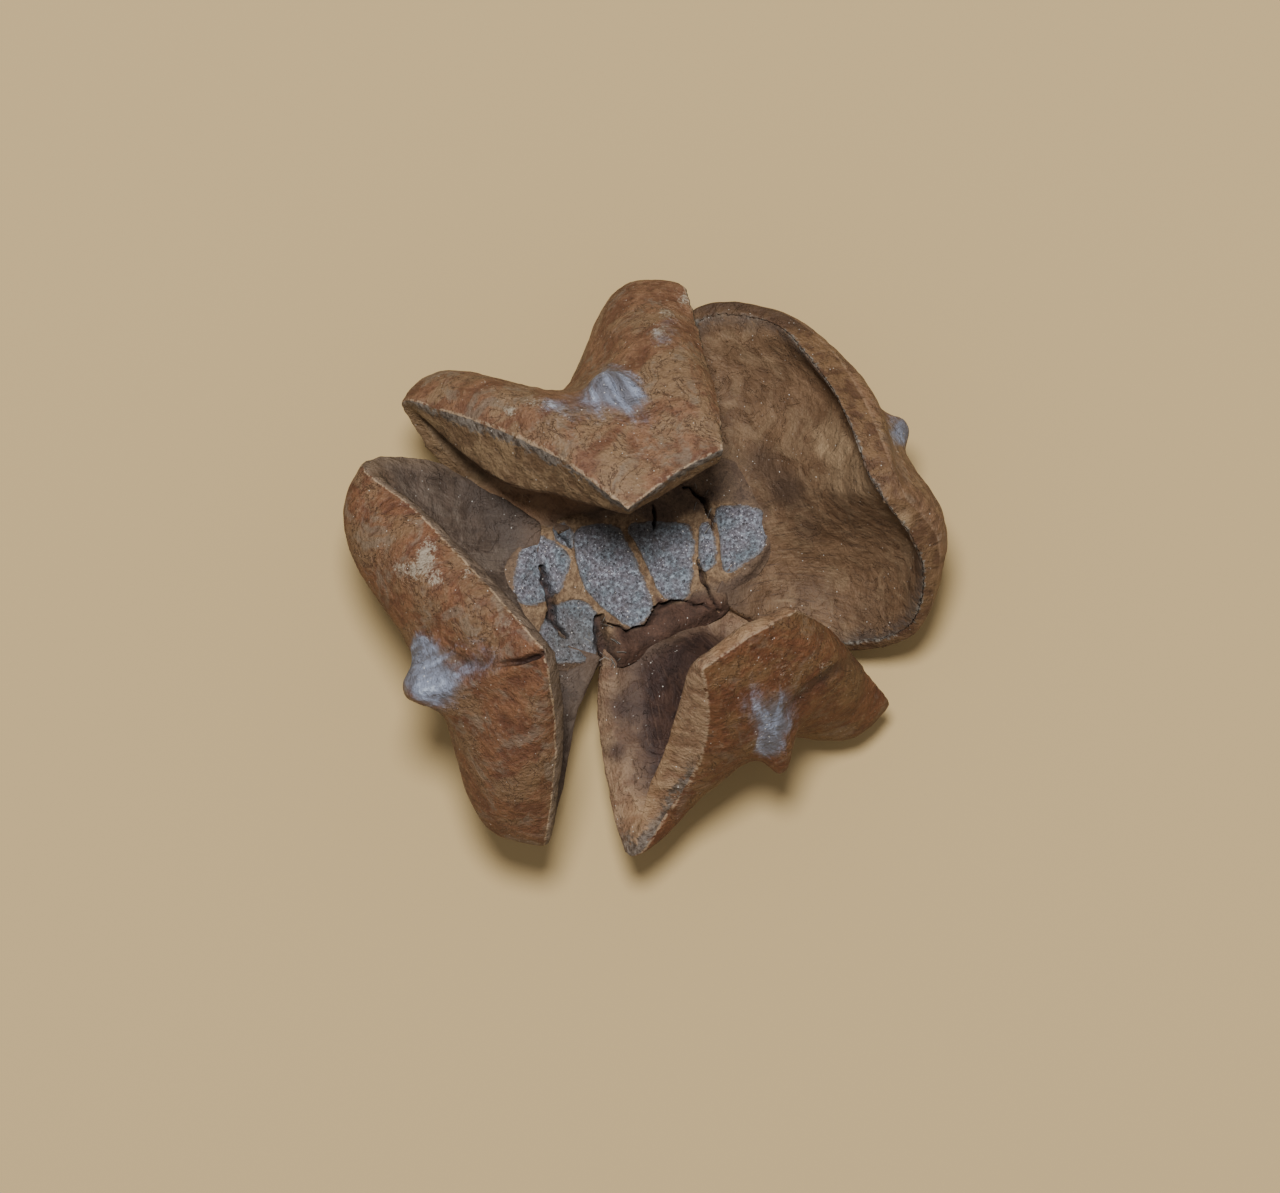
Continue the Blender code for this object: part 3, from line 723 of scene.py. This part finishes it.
def scale_piece(name, scale, marks, softness, folds=(), rounds=0):
    """The scale as one closed mesh: its outer face, inner face and the strip between them.

    Round the inner face's rim it is eased as far off as the softness, in mm, with some more
    rounds where asked. Each fold is a groove in the outer face, seen from above: its depth,
    its half width and its points."""
    run, across = np.linspace(0, 1, SCALE_ROWS + 1), np.linspace(-1, 1, SCALE_COLUMNS + 1)
    v, s = np.meshgrid(run, across, indexing="ij")
    outer, inner = outer_face(scale, s, v), inner_face(scale, s, v)
    grow_spine(scale, outer)
    r, c = (np.array(part) for part in zip(*border(SCALE_ROWS, SCALE_COLUMNS)))
    strips = [outer[r, c] * (1 - k / EDGE_ROWS) + inner[r, c] * k / EDGE_ROWS for k in range(1, EDGE_ROWS)]
    points = np.concatenate([outer.reshape(-1, 3), inner.reshape(-1, 3), *strips])
    faces = closed_faces(r, c, v.size)
    edge, rim = from_borders(outer, inner, r, c)
    on_skin = np.arange(len(points)) < v.size
    inside = RIM_EASING * np.exp(-((rim / softness) ** 2)) * ease(edge, 0.0, 0.4) * ~on_skin
    weight = np.maximum(inside, EDGE_EASING * np.exp(-((edge / scale["bevel"]) ** 2)))
    weight = np.maximum(weight, SKIN_EASING * on_skin * ease(edge, -0.1, -0.6))
    points = eased(points, faces, weight, EASING_ROUNDS)
    points = eased(points, faces, inside, rounds)
    in_cone = turned(points, scale["azimuth"])
    places = from_above(in_cone)
    out, _, _ = outward(scale, s, v)
    out = turned(out.reshape(-1, 3), scale["azimuth"])
    cut = np.zeros(len(points))
    for depth, half, line in folds:
        away, share = to_path(places[:v.size], line)
        groove = ease(away / half, 1.0, 0.2) * np.sin(np.pi * np.clip(share, 0.08, 0.92)) ** 0.5
        in_cone[:v.size] -= out * (groove * depth)[:, None]
        cut[:v.size] = np.maximum(cut[:v.size], groove * min(1, depth / 0.2))
    reach = np.hypot(points[:, 1], 2 + points[:, 2] + 0.5 * points[:, 0])
    worn = np.exp(-((edge / WORN_WIDTH) ** 2)) * scale["worn_edge"]
    worn += np.exp(-((rim / WORN_WIDTH) ** 2)) * scale["worn_rim"]
    fields = {
        "edge": edge, "rim": rim, "fan": np.arcsin(points[:, 1] / reach), "reach": reach,
        "along": np.concatenate([v.ravel(), v.ravel(), np.tile(v[r, c], EDGE_ROWS - 1)]),
        "rough": worn + 0.6 * cut, "cut": cut,
    }
    heights = lying(in_cone)[:, 2] / MM
    for key, chosen in (("bloom", on_skin), ("scuff", on_skin), ("warm", ~on_skin), ("shade", ~on_skin)):
        fields[key] = marked(places, heights, chosen, marks.get(key, ()))
    return make_mesh(name, lying(in_cone), faces, fields)


def scale_material(name, tones, seed):
    """Red-brown dusty skin, pale worn edge, ochre contact face and lined brown hollows."""
    material, tree, shader, place = new_material(name)
    place = place + (seed * 7.3, seed * 3.1, 0.0)
    keys = ("edge", "rim", "along", "fan", "reach")
    edge, rim, along_it, fan, reach = (attribute(tree, key) for key in keys)
    keys = ("cut", "bloom", "scuff", "warm", "shade")
    cut, bloom, scuff, warm, shade = (attribute(tree, key) for key in keys)
    grain = noise(tree, place, 12.0, 3.0, 0.7)
    clots = noise(tree, place, 4.6, 3.0, 0.65)
    mottle = noise(tree, place, 1.5, 4.0, 0.62, 0.4)
    blotch = noise(tree, place, 0.55, 4.0, 0.6, 0.6)
    film = noise(tree, place + (31.0, 0.0, 0.0), 0.8, 4.0, 0.65, 0.8)
    ragged = noise(tree, place, 6.0, 3.0) - 0.5
    wavy = noise(tree, place, 1.2, 2.0) - 0.5
    ray = add_node(tree, "ShaderNodeCombineXYZ", {"X": fan * 22.0, "Y": reach * 1.3, "Z": seed})
    streaks = noise(tree, ray, 1.0, 3.0, 0.6, 0.5)
    line_ray = add_node(tree, "ShaderNodeCombineXYZ", {"X": fan * 60.0, "Y": reach * 1.1, "Z": seed * 5.0})
    lines = noise(tree, line_ray, 1.0, 3.0, 0.6, 0.3)
    veins = (film - 0.5).math("ABSOLUTE").step(0.012, 0.002) * blotch.step(0.42, 0.58)
    # The skin: rust, ochre and a thin grey film in patches, with dark pores and fine cracks
    skin = mottle.step(0.38, 0.62).mix(*tones["rust"][:2])
    skin = (blotch.step(0.46, 0.6) * 0.75).mix(skin, tones["ochre"])
    skin = (film.step(0.52, 0.64) * tones["film"]).mix(skin, (0.140, 0.108, 0.078))
    skin = (clots.step(0.47, 0.3) * 0.5).mix(skin, tones["rust"][2])
    skin = (clots.step(0.54, 0.7) * 0.3).mix(skin, (0.230, 0.155, 0.095))
    skin = (veins * 0.6).mix(skin, tones["rust"][2])
    scuffed = scuff * 1.1 + clots * 1.2 + grain * 1.8 - 1.95
    skin = scuffed.step(0.0, 0.5).mix(skin, (0.240, 0.198, 0.150))
    frost = streaks.step(0.42, 0.6).mix((0.100, 0.100, 0.118), (0.172, 0.192, 0.250))
    frost = (streaks.step(0.56, 0.7) * clots.step(0.45, 0.6)).mix(frost, (0.33, 0.37, 0.45))
    skin = (bloom * 1.6 + streaks * 1.2 + clots * 0.8 + grain * 0.5 - 1.65).step(0.0, 1.1).mix(skin, frost)
    worn = (edge + ragged * 0.14).step(-0.12, -0.04) * (mottle + ragged).step(0.36, 0.5)
    skin = (worn * tones["worn"]).mix(skin, (0.310, 0.225, 0.145))
    # Painted shade: the folds' grooves are darkened nearly to black, the most where they cut deepest
    skin = (cut * 0.92).mix(skin, (0.020, 0.010, 0.008))
    # The contact face, with the dark cut end of the skin along one side
    contact = mottle.step(0.38, 0.62).mix(*tones["contact"])
    contact = (clots.step(0.46, 0.3) * 0.5).mix(contact, (0.062, 0.036, 0.022))
    contact = (streaks.step(0.54, 0.7) * 0.25).mix(contact, tones["contact"][1])
    contact = (shade.step(0.1, 1.0) * 0.85).mix(contact, tones["shade"])
    strip = (clots + ragged * 0.5).step(0.34, 0.6).mix((0.034, 0.027, 0.023), (0.115, 0.100, 0.085))
    strength, width, end = tones["strip"]
    cut_end = (edge + wavy * 0.9 + ragged * 0.7).step(width + 0.06, width - 0.1)
    cut_end = cut_end * (mottle + ragged * 0.5).step(0.3, 0.44) * strength
    cut_end = cut_end * along_it.step(0.26, 0.34) * along_it.step(end + 0.08, end)
    contact = cut_end.mix(contact, strip)
    # The hollows
    hollow = mottle.step(0.36, 0.64).mix(*tones["hollow"][:2])
    hollow = (film.step(0.5, 0.64) * 0.5).mix(hollow, tones["hollow"][2])
    lined = fan.step(0.25, -0.25) * 0.4 + along_it.step(0.4, 0.1) * 0.35 + 0.15
    hollow = (lines.step(0.54, 0.72) * lined).mix(hollow, tones["hollow"][2])
    hollow = (lines.step(0.46, 0.28) * lined).mix(hollow, tones["shade"])
    hollow = (shade.step(0.1, 1.0) * 0.8).mix(hollow, tones["shade"])
    # Painted shade: the hollow darkens towards its foot, in the cleft by the floor
    hollow = along_it.step(0.14, 0.02).mix(hollow, (0.080, 0.051, 0.034))
    in_hollow = (rim + ragged * 0.2).step(*tones["blend"])
    inside = in_hollow.mix(contact, hollow)
    # Warm marks: ochre wood, painted lighter where a slope or band of it catches the lamp
    glow = mottle.step(0.3, 0.7).mix(*tones["warm"])
    inside = (warm + wavy * 0.5 + ragged * 0.3).step(0.2, 0.85).mix(inside, glow)
    # The crest of the rim: a dark zone inside it, and crumbs along it
    crest = tones["crest"] * along_it.step(0.2, 0.3) * shade.step(0.7, 0.2)
    shaded = (rim + wavy * 0.8).step(0.75, 0.05) * rim.step(-0.06, 0.04)
    inside = (shaded * crest * clots.step(0.3, 0.5) * 0.7).mix(inside, (0.060, 0.047, 0.040))
    crumbs = (rim + wavy * 0.3 + ragged * 0.4).math("ABSOLUTE").step(0.14, 0.02) * mottle.step(0.4, 0.52)
    crumb = (clots + ragged).step(0.4, 0.6).mix((0.050, 0.040, 0.033), (0.180, 0.165, 0.140))
    inside = (crumbs * crest * 0.8).mix(inside, crumb)
    on_inside = (edge + ragged * 0.08).step(-0.02, 0.03)
    colour = on_inside.mix(skin, inside)
    colour = colour * (grain * 0.9 + 0.55)
    # Painted glints: tiny bright specks of resin and dust
    colour, glint_specks = glitter(tree, place, colour, scuff * 0.06 + bloom * 0.05)
    roughness = grain * 0.3 + (0.5 - glint_specks * 0.2)
    reliefs = [
        (mottle, 0.16), (clots * (1.1 - in_hollow), 0.09), (streaks * (1.15 - in_hollow), 0.05),
        (veins, -0.03), (grain, 0.025), (lines * in_hollow, 0.015),
    ]
    finish_material(tree, shader, colour, roughness, reliefs)
    return material


def finish_scale(scale, name, tones, seed, lumps, wrinkles):
    """Gives the scale its material, and its lumps and wrinkles, in mm."""
    values = {"Lump Height": lumps, "Wrinkle Height": wrinkles, "Seed": seed}
    through_nodes(scale, grown_relief, {**values, "Material": scale_material(name, tones, seed)})


# The strip is the skin's dark cut end: its strength, its width in mm and where it ends along
# the scale. The blend is where the contact face turns into the hollow, in mm from the rim.
RIGHT_TONES = {
    "rust": ((0.105, 0.055, 0.030), (0.165, 0.092, 0.050), (0.050, 0.027, 0.017)),
    "ochre": (0.175, 0.108, 0.054), "film": 0.4,
    "contact": ((0.072, 0.035, 0.018), (0.135, 0.077, 0.038)),
    "strip": (0.0, 0.2, 1.1), "worn": 0.15,
    "hollow": ((0.092, 0.050, 0.025), (0.138, 0.080, 0.042), (0.175, 0.115, 0.064)),
    "warm": ((0.160, 0.100, 0.054), (0.250, 0.168, 0.095)),
    "shade": (0.050, 0.030, 0.019), "crest": 0.9, "blend": (-0.04, 0.04),
}
right_scale = scale_piece("right_scale_wood", RIGHT_SCALE, RIGHT_MARKS, 0.3)
finish_scale(right_scale, "right scale", RIGHT_TONES, 2.0, 0.10, 0.03)
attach(right_scale, "root")
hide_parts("right_scale")

# The top scale: one of the narrow pair, hardly opened, leaning in over the floor with its
# outer face up. Its broad square tip is where it met the three others, and the contact face
# on its left is as thick as the wood.
TOP_SCALE = {
    "azimuth": 116.0,
    "left_edge": [
        (2.4, 2.2, -0.3), (4.4, 3.9, -0.8), (8.6, 5.2, 0.6), (8.0, 4.5, 3.2),
        (6.7, 3.5, 5.6), (5.2, 2.7, 7.6), (3.2, 2.0, 9.1),
    ],
    "left_rim": [
        (2.4, 1.9, 0.1), (4.3, 3.5, -0.2), (8.1, 4.8, 0.6), (6.9, 4.7, 2.3),
        (5.2, 4.2, 4.3), (4.1, 3.0, 6.2), (2.9, 1.8, 8.3),
    ],
    "right_edge": [
        (1.8, -2.7, -0.3), (4.4, -4.2, -0.8), (8.0, -5.2, 1.0), (7.0, -4.6, 3.0),
        (5.7, -3.7, 5.2), (4.6, -2.8, 7.4), (3.6, -1.8, 9.2),
    ],
    "right_rim": [
        (1.9, -2.4, 0.1), (4.2, -3.7, -0.2), (7.3, -4.6, 1.5), (6.1, -3.8, 3.2),
        (4.8, -2.8, 5.0), (3.9, -2.2, 6.7), (3.1, -1.7, 8.3),
    ],
    "furrow": [
        (1.5, 0.0, -2.3), (4.0, 0.2, -2.2), (6.3, 0.4, 0.2), (6.9, 0.4, 3.4),
        (6.1, 0.0, 6.4), (3.6, 0.1, 9.3),
    ],
    "inner": [
        (2.4, 0.0, 0.0), (3.0, 0.0, 1.4), (3.8, 0.0, 3.2), (4.1, 0.0, 5.2),
        (3.8, 0.0, 6.8), (3.0, 0.0, 8.3),
    ],
    "lobes": [(0.3, 0.3), (1.0, 1.9), (1.2, 1.5), (0.9, 1.2), (0.5, 0.7), (0.0, 0.0)],
    "hollow": [0.1, 0.7, 1.1, 1.0, 0.5, 0.0],
    "bevel": 0.06, "worn_edge": 1.0, "worn_rim": 0.2,
    "spine": ((6.0, -0.2, 4.9), (7.2, 0.0, 6.2), 2.2),
}
TOP_MARKS = {
    "bloom": [
        (-0.9, 6.3, 0.75, 1.1), (-0.4, 5.8, 0.6, 0.8), (-1.2, 6.8, 0.4, 0.6), (0.1, 4.9, 0.9, 0.35),
        (-1.9, 5.5, 0.8, 0.62), (-3.1, 5.5, 0.6, 0.5), (1.0, 8.2, 0.6, 0.45), (0.6, 7.6, 0.4, 0.4),
    ],
    "scuff": [
        (-3.5, 5.6, 0.35, 0.7), (-4.3, 5.3, 0.3, 0.7), (-2.6, 5.4, 0.5, 0.5), (0.9, 8.7, 0.45, 0.7),
        (1.5, 9.1, 0.3, 0.9), (0.6, 7.9, 0.35, 0.7), (-1.3, 7.9, 0.4, 0.4), (0.6, 3.4, 0.8, 0.3),
        (-3.1, 4.1, 0.4, 0.4),
    ],
    "warm": [(-7.6, 5.0, 0.7, 1.2), (-6.9, 4.3, 0.7, 1.2), (-6.1, 3.7, 0.7, 1.1), (-5.3, 3.1, 0.5, 0.7)],
}
TOP_TONES = {
    "rust": ((0.096, 0.042, 0.022), (0.162, 0.084, 0.045), (0.050, 0.023, 0.015)),
    "ochre": (0.172, 0.112, 0.062), "film": 0.65,
    "contact": ((0.090, 0.052, 0.026), (0.155, 0.100, 0.052)),
    "strip": (0.85, 0.38, 1.1), "worn": 0.7,
    "hollow": ((0.170, 0.090, 0.048), (0.230, 0.130, 0.070), (0.250, 0.160, 0.090)),
    "warm": ((0.110, 0.066, 0.034), (0.170, 0.110, 0.058)),
    "shade": (0.100, 0.052, 0.026), "crest": 0.1, "blend": (-0.12, 0.12),
}
TOP_FOLDS = [(0.10, 0.14, [(-4.7, 4.5), (-4.0, 4.15), (-3.2, 3.9)])]
top_scale = scale_piece("top_scale_wood", TOP_SCALE, TOP_MARKS, 0.25, TOP_FOLDS)
finish_scale(top_scale, "top scale", TOP_TONES, 3.0, 0.11, 0.04)
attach(top_scale, "root")
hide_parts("top_scale")

# The left scale: the other of the broad pair, half open. The fold down its outer face splits
# a little at the tip, and its spine is the longest, with the blue-grey bloom of young cones.
LEFT_SCALE = {
    "azimuth": 206.0,
    "left_edge": [
        (2.5, 2.1, -0.3), (4.1, 3.6, -0.6), (5.8, 5.5, -0.2), (7.2, 6.6, 1.2),
        (7.0, 5.0, 3.6), (6.6, 2.8, 6.0), (6.6, 0.3, 8.8),
    ],
    "left_rim": [
        (2.5, 1.9, 0.2), (3.9, 3.2, -0.1), (5.4, 5.0, 0.2), (6.8, 6.1, 1.5),
        (6.6, 4.6, 3.7), (6.1, 2.5, 5.9), (6.1, 0.3, 8.3),
    ],
    "right_edge": [
        (2.4, -3.2, -0.3), (3.4, -4.9, -0.6), (4.9, -6.6, -0.3), (7.3, -7.6, 1.0),
        (7.0, -5.8, 3.4), (6.7, -3.0, 6.3), (6.5, -0.4, 8.8),
    ],
    "right_rim": [
        (2.4, -2.9, 0.1), (3.3, -4.5, -0.1), (4.8, -6.1, 0.1), (7.0, -7.2, 1.3),
        (6.7, -5.4, 3.5), (6.3, -2.7, 6.2), (6.1, -0.4, 8.3),
    ],
    "furrow": [
        (1.6, 0.0, -2.3), (4.8, 0.0, -2.3), (7.6, 0.0, -0.2), (9.0, 0.0, 3.0),
        (8.5, 0.0, 6.0), (6.6, -0.1, 8.9),
    ],
    "inner": [
        (4.4, 0.0, 0.2), (5.0, 0.0, 1.4), (5.8, 0.0, 3.2), (6.2, 0.0, 5.2),
        (6.2, 0.0, 7.0), (6.0, 0.0, 8.3),
    ],
    "lobes": [(0.3, 0.3), (1.1, 1.1), (1.3, 1.3), (1.2, 1.2), (0.7, 0.7), (0.0, 0.0)],
    "hollow": [0.1, 0.6, 0.9, 0.8, 0.4, 0.0],
    "bevel": 0.08, "worn_edge": 0.7, "worn_rim": 0.2,
    "spine": ((8.0, 0.0, 4.0), (10.0, -0.5, 3.6), 2.8),
}
LEFT_MARKS = {
    "bloom": [
        (-7.3, -3.2, 0.75, 1.2), (-6.7, -3.9, 0.8, 0.9), (-5.7, -3.1, 0.9, 0.5), (-4.8, -2.8, 0.6, 0.3),
        (-7.2, -2.5, 0.5, 0.9),
    ],
    "scuff": [
        (-7.1, 0.4, 0.4, 0.9), (-7.5, -0.05, 0.35, 0.7), (-6.7, -0.25, 0.4, 0.7), (-8.0, 0.15, 0.3, 0.6),
        (-5.6, 0.0, 0.4, 0.5), (-6.9, 0.9, 0.3, 0.6), (-7.7, 2.2, 0.35, 0.5), (-4.3, -1.7, 0.4, 0.4),
    ],
    "warm": [(-8.6, 3.4, 0.8, 0.5)],
    "shade": [(-4.6, 1.9, 1.1, 0.9), (-3.6, 2.5, 1.1, 0.8), (-5.6, 2.9, 0.9, 0.6), (-3.9, 0.9, 0.7, 0.5)],
}
LEFT_TONES = {
    "rust": ((0.088, 0.035, 0.018), (0.145, 0.066, 0.032), (0.048, 0.020, 0.013)),
    "ochre": (0.145, 0.088, 0.046), "film": 0.6,
    "contact": ((0.095, 0.066, 0.046), (0.150, 0.108, 0.076)),
    "strip": (0.0, 0.2, 1.1), "worn": 0.8,
    "hollow": ((0.052, 0.035, 0.025), (0.088, 0.061, 0.044), (0.120, 0.092, 0.070)),
    "warm": ((0.110, 0.066, 0.038), (0.160, 0.100, 0.060)),
    "shade": (0.048, 0.034, 0.026), "crest": 0.0, "blend": (-0.3, 0.3),
}
LEFT_FOLDS = [
    (0.32, 0.15, [(-3.0, -2.45), (-3.4, -2.75), (-3.9, -2.93), (-4.6, -3.03)]),
    (0.08, 0.25, [(-4.6, -3.05), (-5.6, -3.0), (-6.4, -2.7)]),
]
left_scale = scale_piece("left_scale_wood", LEFT_SCALE, LEFT_MARKS, 0.12, LEFT_FOLDS)
finish_scale(left_scale, "left scale", LEFT_TONES, 4.0, 0.11, 0.035)
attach(left_scale, "root")
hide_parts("left_scale")

# The bottom scale: the other of the narrow pair, a little open, so that half of its hollow
# shows. One lobe runs out into a point at the side, and a crease crosses it by the spine.
BOTTOM_SCALE = {
    "azimuth": 296.0,
    "left_edge": [
        (2.0, 1.9, -0.3), (3.8, 3.4, -0.8), (7.6, 5.7, 0.5), (5.9, 4.8, 3.0),
        (4.2, 3.7, 5.6), (2.9, 2.6, 7.6), (2.3, 1.8, 9.0),
    ],
    "left_rim": [
        (2.0, 1.8, 0.0), (3.6, 3.1, -0.3), (7.1, 5.2, 0.8), (5.4, 4.1, 3.1),
        (3.7, 2.9, 5.4), (2.6, 2.2, 7.1), (2.0, 1.7, 8.4),
    ],
    "right_edge": [
        (1.8, -2.2, -0.3), (4.2, -3.4, -0.8), (8.2, -4.7, 0.5), (7.3, -3.1, 2.0),
        (6.0, -2.2, 4.4), (4.3, -1.9, 7.0), (2.6, -2.0, 9.0),
    ],
    "right_rim": [
        (1.8, -2.0, 0.0), (4.1, -3.1, -0.4), (7.8, -4.4, 0.8), (6.4, -3.9, 1.9),
        (5.1, -3.2, 3.8), (3.6, -2.7, 6.2), (2.2, -2.1, 8.4),
    ],
    "furrow": [
        (1.5, 0.0, -2.3), (4.2, 0.0, -2.2), (6.3, 0.5, 0.2), (6.7, 0.7, 3.4),
        (5.4, 0.7, 6.4), (2.3, 0.0, 9.2),
    ],
    "inner": [
        (2.4, 0.0, 0.0), (3.0, 0.0, 1.4), (3.8, 0.0, 3.2), (4.0, 0.0, 5.2),
        (3.3, 0.0, 6.8), (1.8, 0.0, 8.4),
    ],
    "lobes": [(0.3, 0.3), (1.0, 0.5), (1.2, 0.4), (1.0, 0.3), (0.6, 0.2), (0.0, 0.0)],
    "hollow": [0.1, 0.7, 1.0, 0.9, 0.5, 0.0],
    "bevel": 0.08, "worn_edge": 0.8, "worn_rim": 0.1,
    "spine": ((5.9, 0.7, 4.8), (7.7, 0.6, 3.5), 2.0),
}
BOTTOM_MARKS = {
    "bloom": [
        (4.5, -5.1, 0.7, 0.9), (4.3, -5.9, 0.5, 0.9), (3.9, -4.4, 0.9, 0.5), (5.0, -4.2, 0.6, 0.4),
    ],
    "scuff": [
        (4.9, -3.5, 0.5, 0.4), (5.5, -4.0, 0.3, 0.6), (6.2, -3.2, 0.4, 0.5), (4.3, -3.1, 0.4, 0.3),
        (2.8, -3.0, 0.5, 0.2),
    ],
    "warm": [
        (0.9, -1.7, 0.8, 0.5), (-0.1, -8.0, 0.7, 1.1), (0.2, -7.0, 0.6, 1.1), (0.6, -6.0, 0.6, 1.1),
        (0.9, -5.0, 0.6, 0.9), (1.2, -4.0, 0.5, 0.6), (2.6, -2.5, 0.4, 1.1), (3.3, -2.1, 0.4, 1.1),
        (4.1, -1.7, 0.4, 1.0), (4.8, -1.4, 0.3, 0.8),
    ],
    "shade": [
        (-0.5, -4.5, 0.8, 0.9), (-0.8, -6.0, 0.5, 0.8), (-0.7, -2.8, 0.8, 0.6), (0.6, -3.2, 0.7, 0.6),
        (1.5, -2.8, 0.6, 0.6),
    ],
}
BOTTOM_TONES = {
    "rust": ((0.082, 0.029, 0.013), (0.125, 0.050, 0.021), (0.042, 0.017, 0.010)),
    "ochre": (0.130, 0.072, 0.031), "film": 0.35,
    "contact": ((0.150, 0.084, 0.048), (0.245, 0.160, 0.096)),
    "strip": (0.8, 0.36, 0.62), "worn": 0.6,
    "hollow": ((0.026, 0.014, 0.011), (0.052, 0.027, 0.019), (0.078, 0.044, 0.030)),
    "warm": ((0.165, 0.090, 0.046), (0.265, 0.172, 0.098)),
    "shade": (0.036, 0.022, 0.018), "crest": 0.0, "blend": (-0.1, 1.5),
}
BOTTOM_FOLDS = [(0.14, 0.3, [(4.9, -4.6), (5.6, -3.9), (6.4, -3.3), (7.1, -2.9)])]
bottom_scale = scale_piece("bottom_scale_wood", BOTTOM_SCALE, BOTTOM_MARKS, 0.8, BOTTOM_FOLDS, 126)
finish_scale(bottom_scale, "bottom scale", BOTTOM_TONES, 5.0, 0.11, 0.035)
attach(bottom_scale, "root")
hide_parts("bottom_scale")

# The floor, which isn't part of the cone: a plain pale studio surface.
floor_mesh = bpy.data.meshes.new("studio_floor")
floor_mesh.from_pydata([(-2, -2, 0), (2, -2, 0), (2, 2, 0), (-2, 2, 0)], [], [(0, 1, 2, 3)])
studio_floor = bpy.data.objects.new("studio_floor", floor_mesh)
bpy.context.scene.collection.objects.link(studio_floor)
floor_paint = bpy.data.materials.new("studio floor")
floor_paint.use_nodes = True
floor_shader = floor_paint.node_tree.nodes["Principled BSDF"]
floor_shader.inputs["Base Color"].default_value = (0.41, 0.295, 0.145, 1)
floor_shader.inputs["Roughness"].default_value = 0.9
floor_shader.inputs["Specular IOR Level"].default_value = 0.1
floor_mesh.materials.append(floor_paint)

# Light: one large soft lamp, up and to the left, and an even pale surround.
lamp_data = bpy.data.lights.new("soft_lamp", "AREA")
lamp_data.shape = "DISK"
lamp_data.size = 0.07
lamp_data.energy = 2.75
lamp = bpy.data.objects.new("soft_lamp", lamp_data)
lamp.location = (-0.012, 0.075, 0.42)
lamp.rotation_euler = (-lamp.location).to_track_quat("-Z", "Y").to_euler()
bpy.context.scene.collection.objects.link(lamp)
world = bpy.data.worlds.new("surround")
bpy.context.scene.world = world
world.use_nodes = True
world.node_tree.nodes["Background"].inputs["Color"].default_value = (1.0, 0.97, 0.93, 1)
world.node_tree.nodes["Background"].inputs["Strength"].default_value = 0.42

# The camera looks straight down on the cone, from far enough to flatten it.
VIEW_WIDTH = 42.67 * MM
CAMERA_HEIGHT = 0.5
target = lying(np.array((0.0, 0.0, 0.0)))
camera_data = bpy.data.cameras.new("camera")
camera_data.sensor_width = 36.0
camera_data.lens = 36.0 * CAMERA_HEIGHT / VIEW_WIDTH
camera_data.clip_start = 0.01
camera = bpy.data.objects.new("camera", camera_data)
camera.location = (target[0], target[1] - 0.82 * MM, target[2] + CAMERA_HEIGHT)
bpy.context.scene.collection.objects.link(camera)
bpy.context.scene.camera = camera
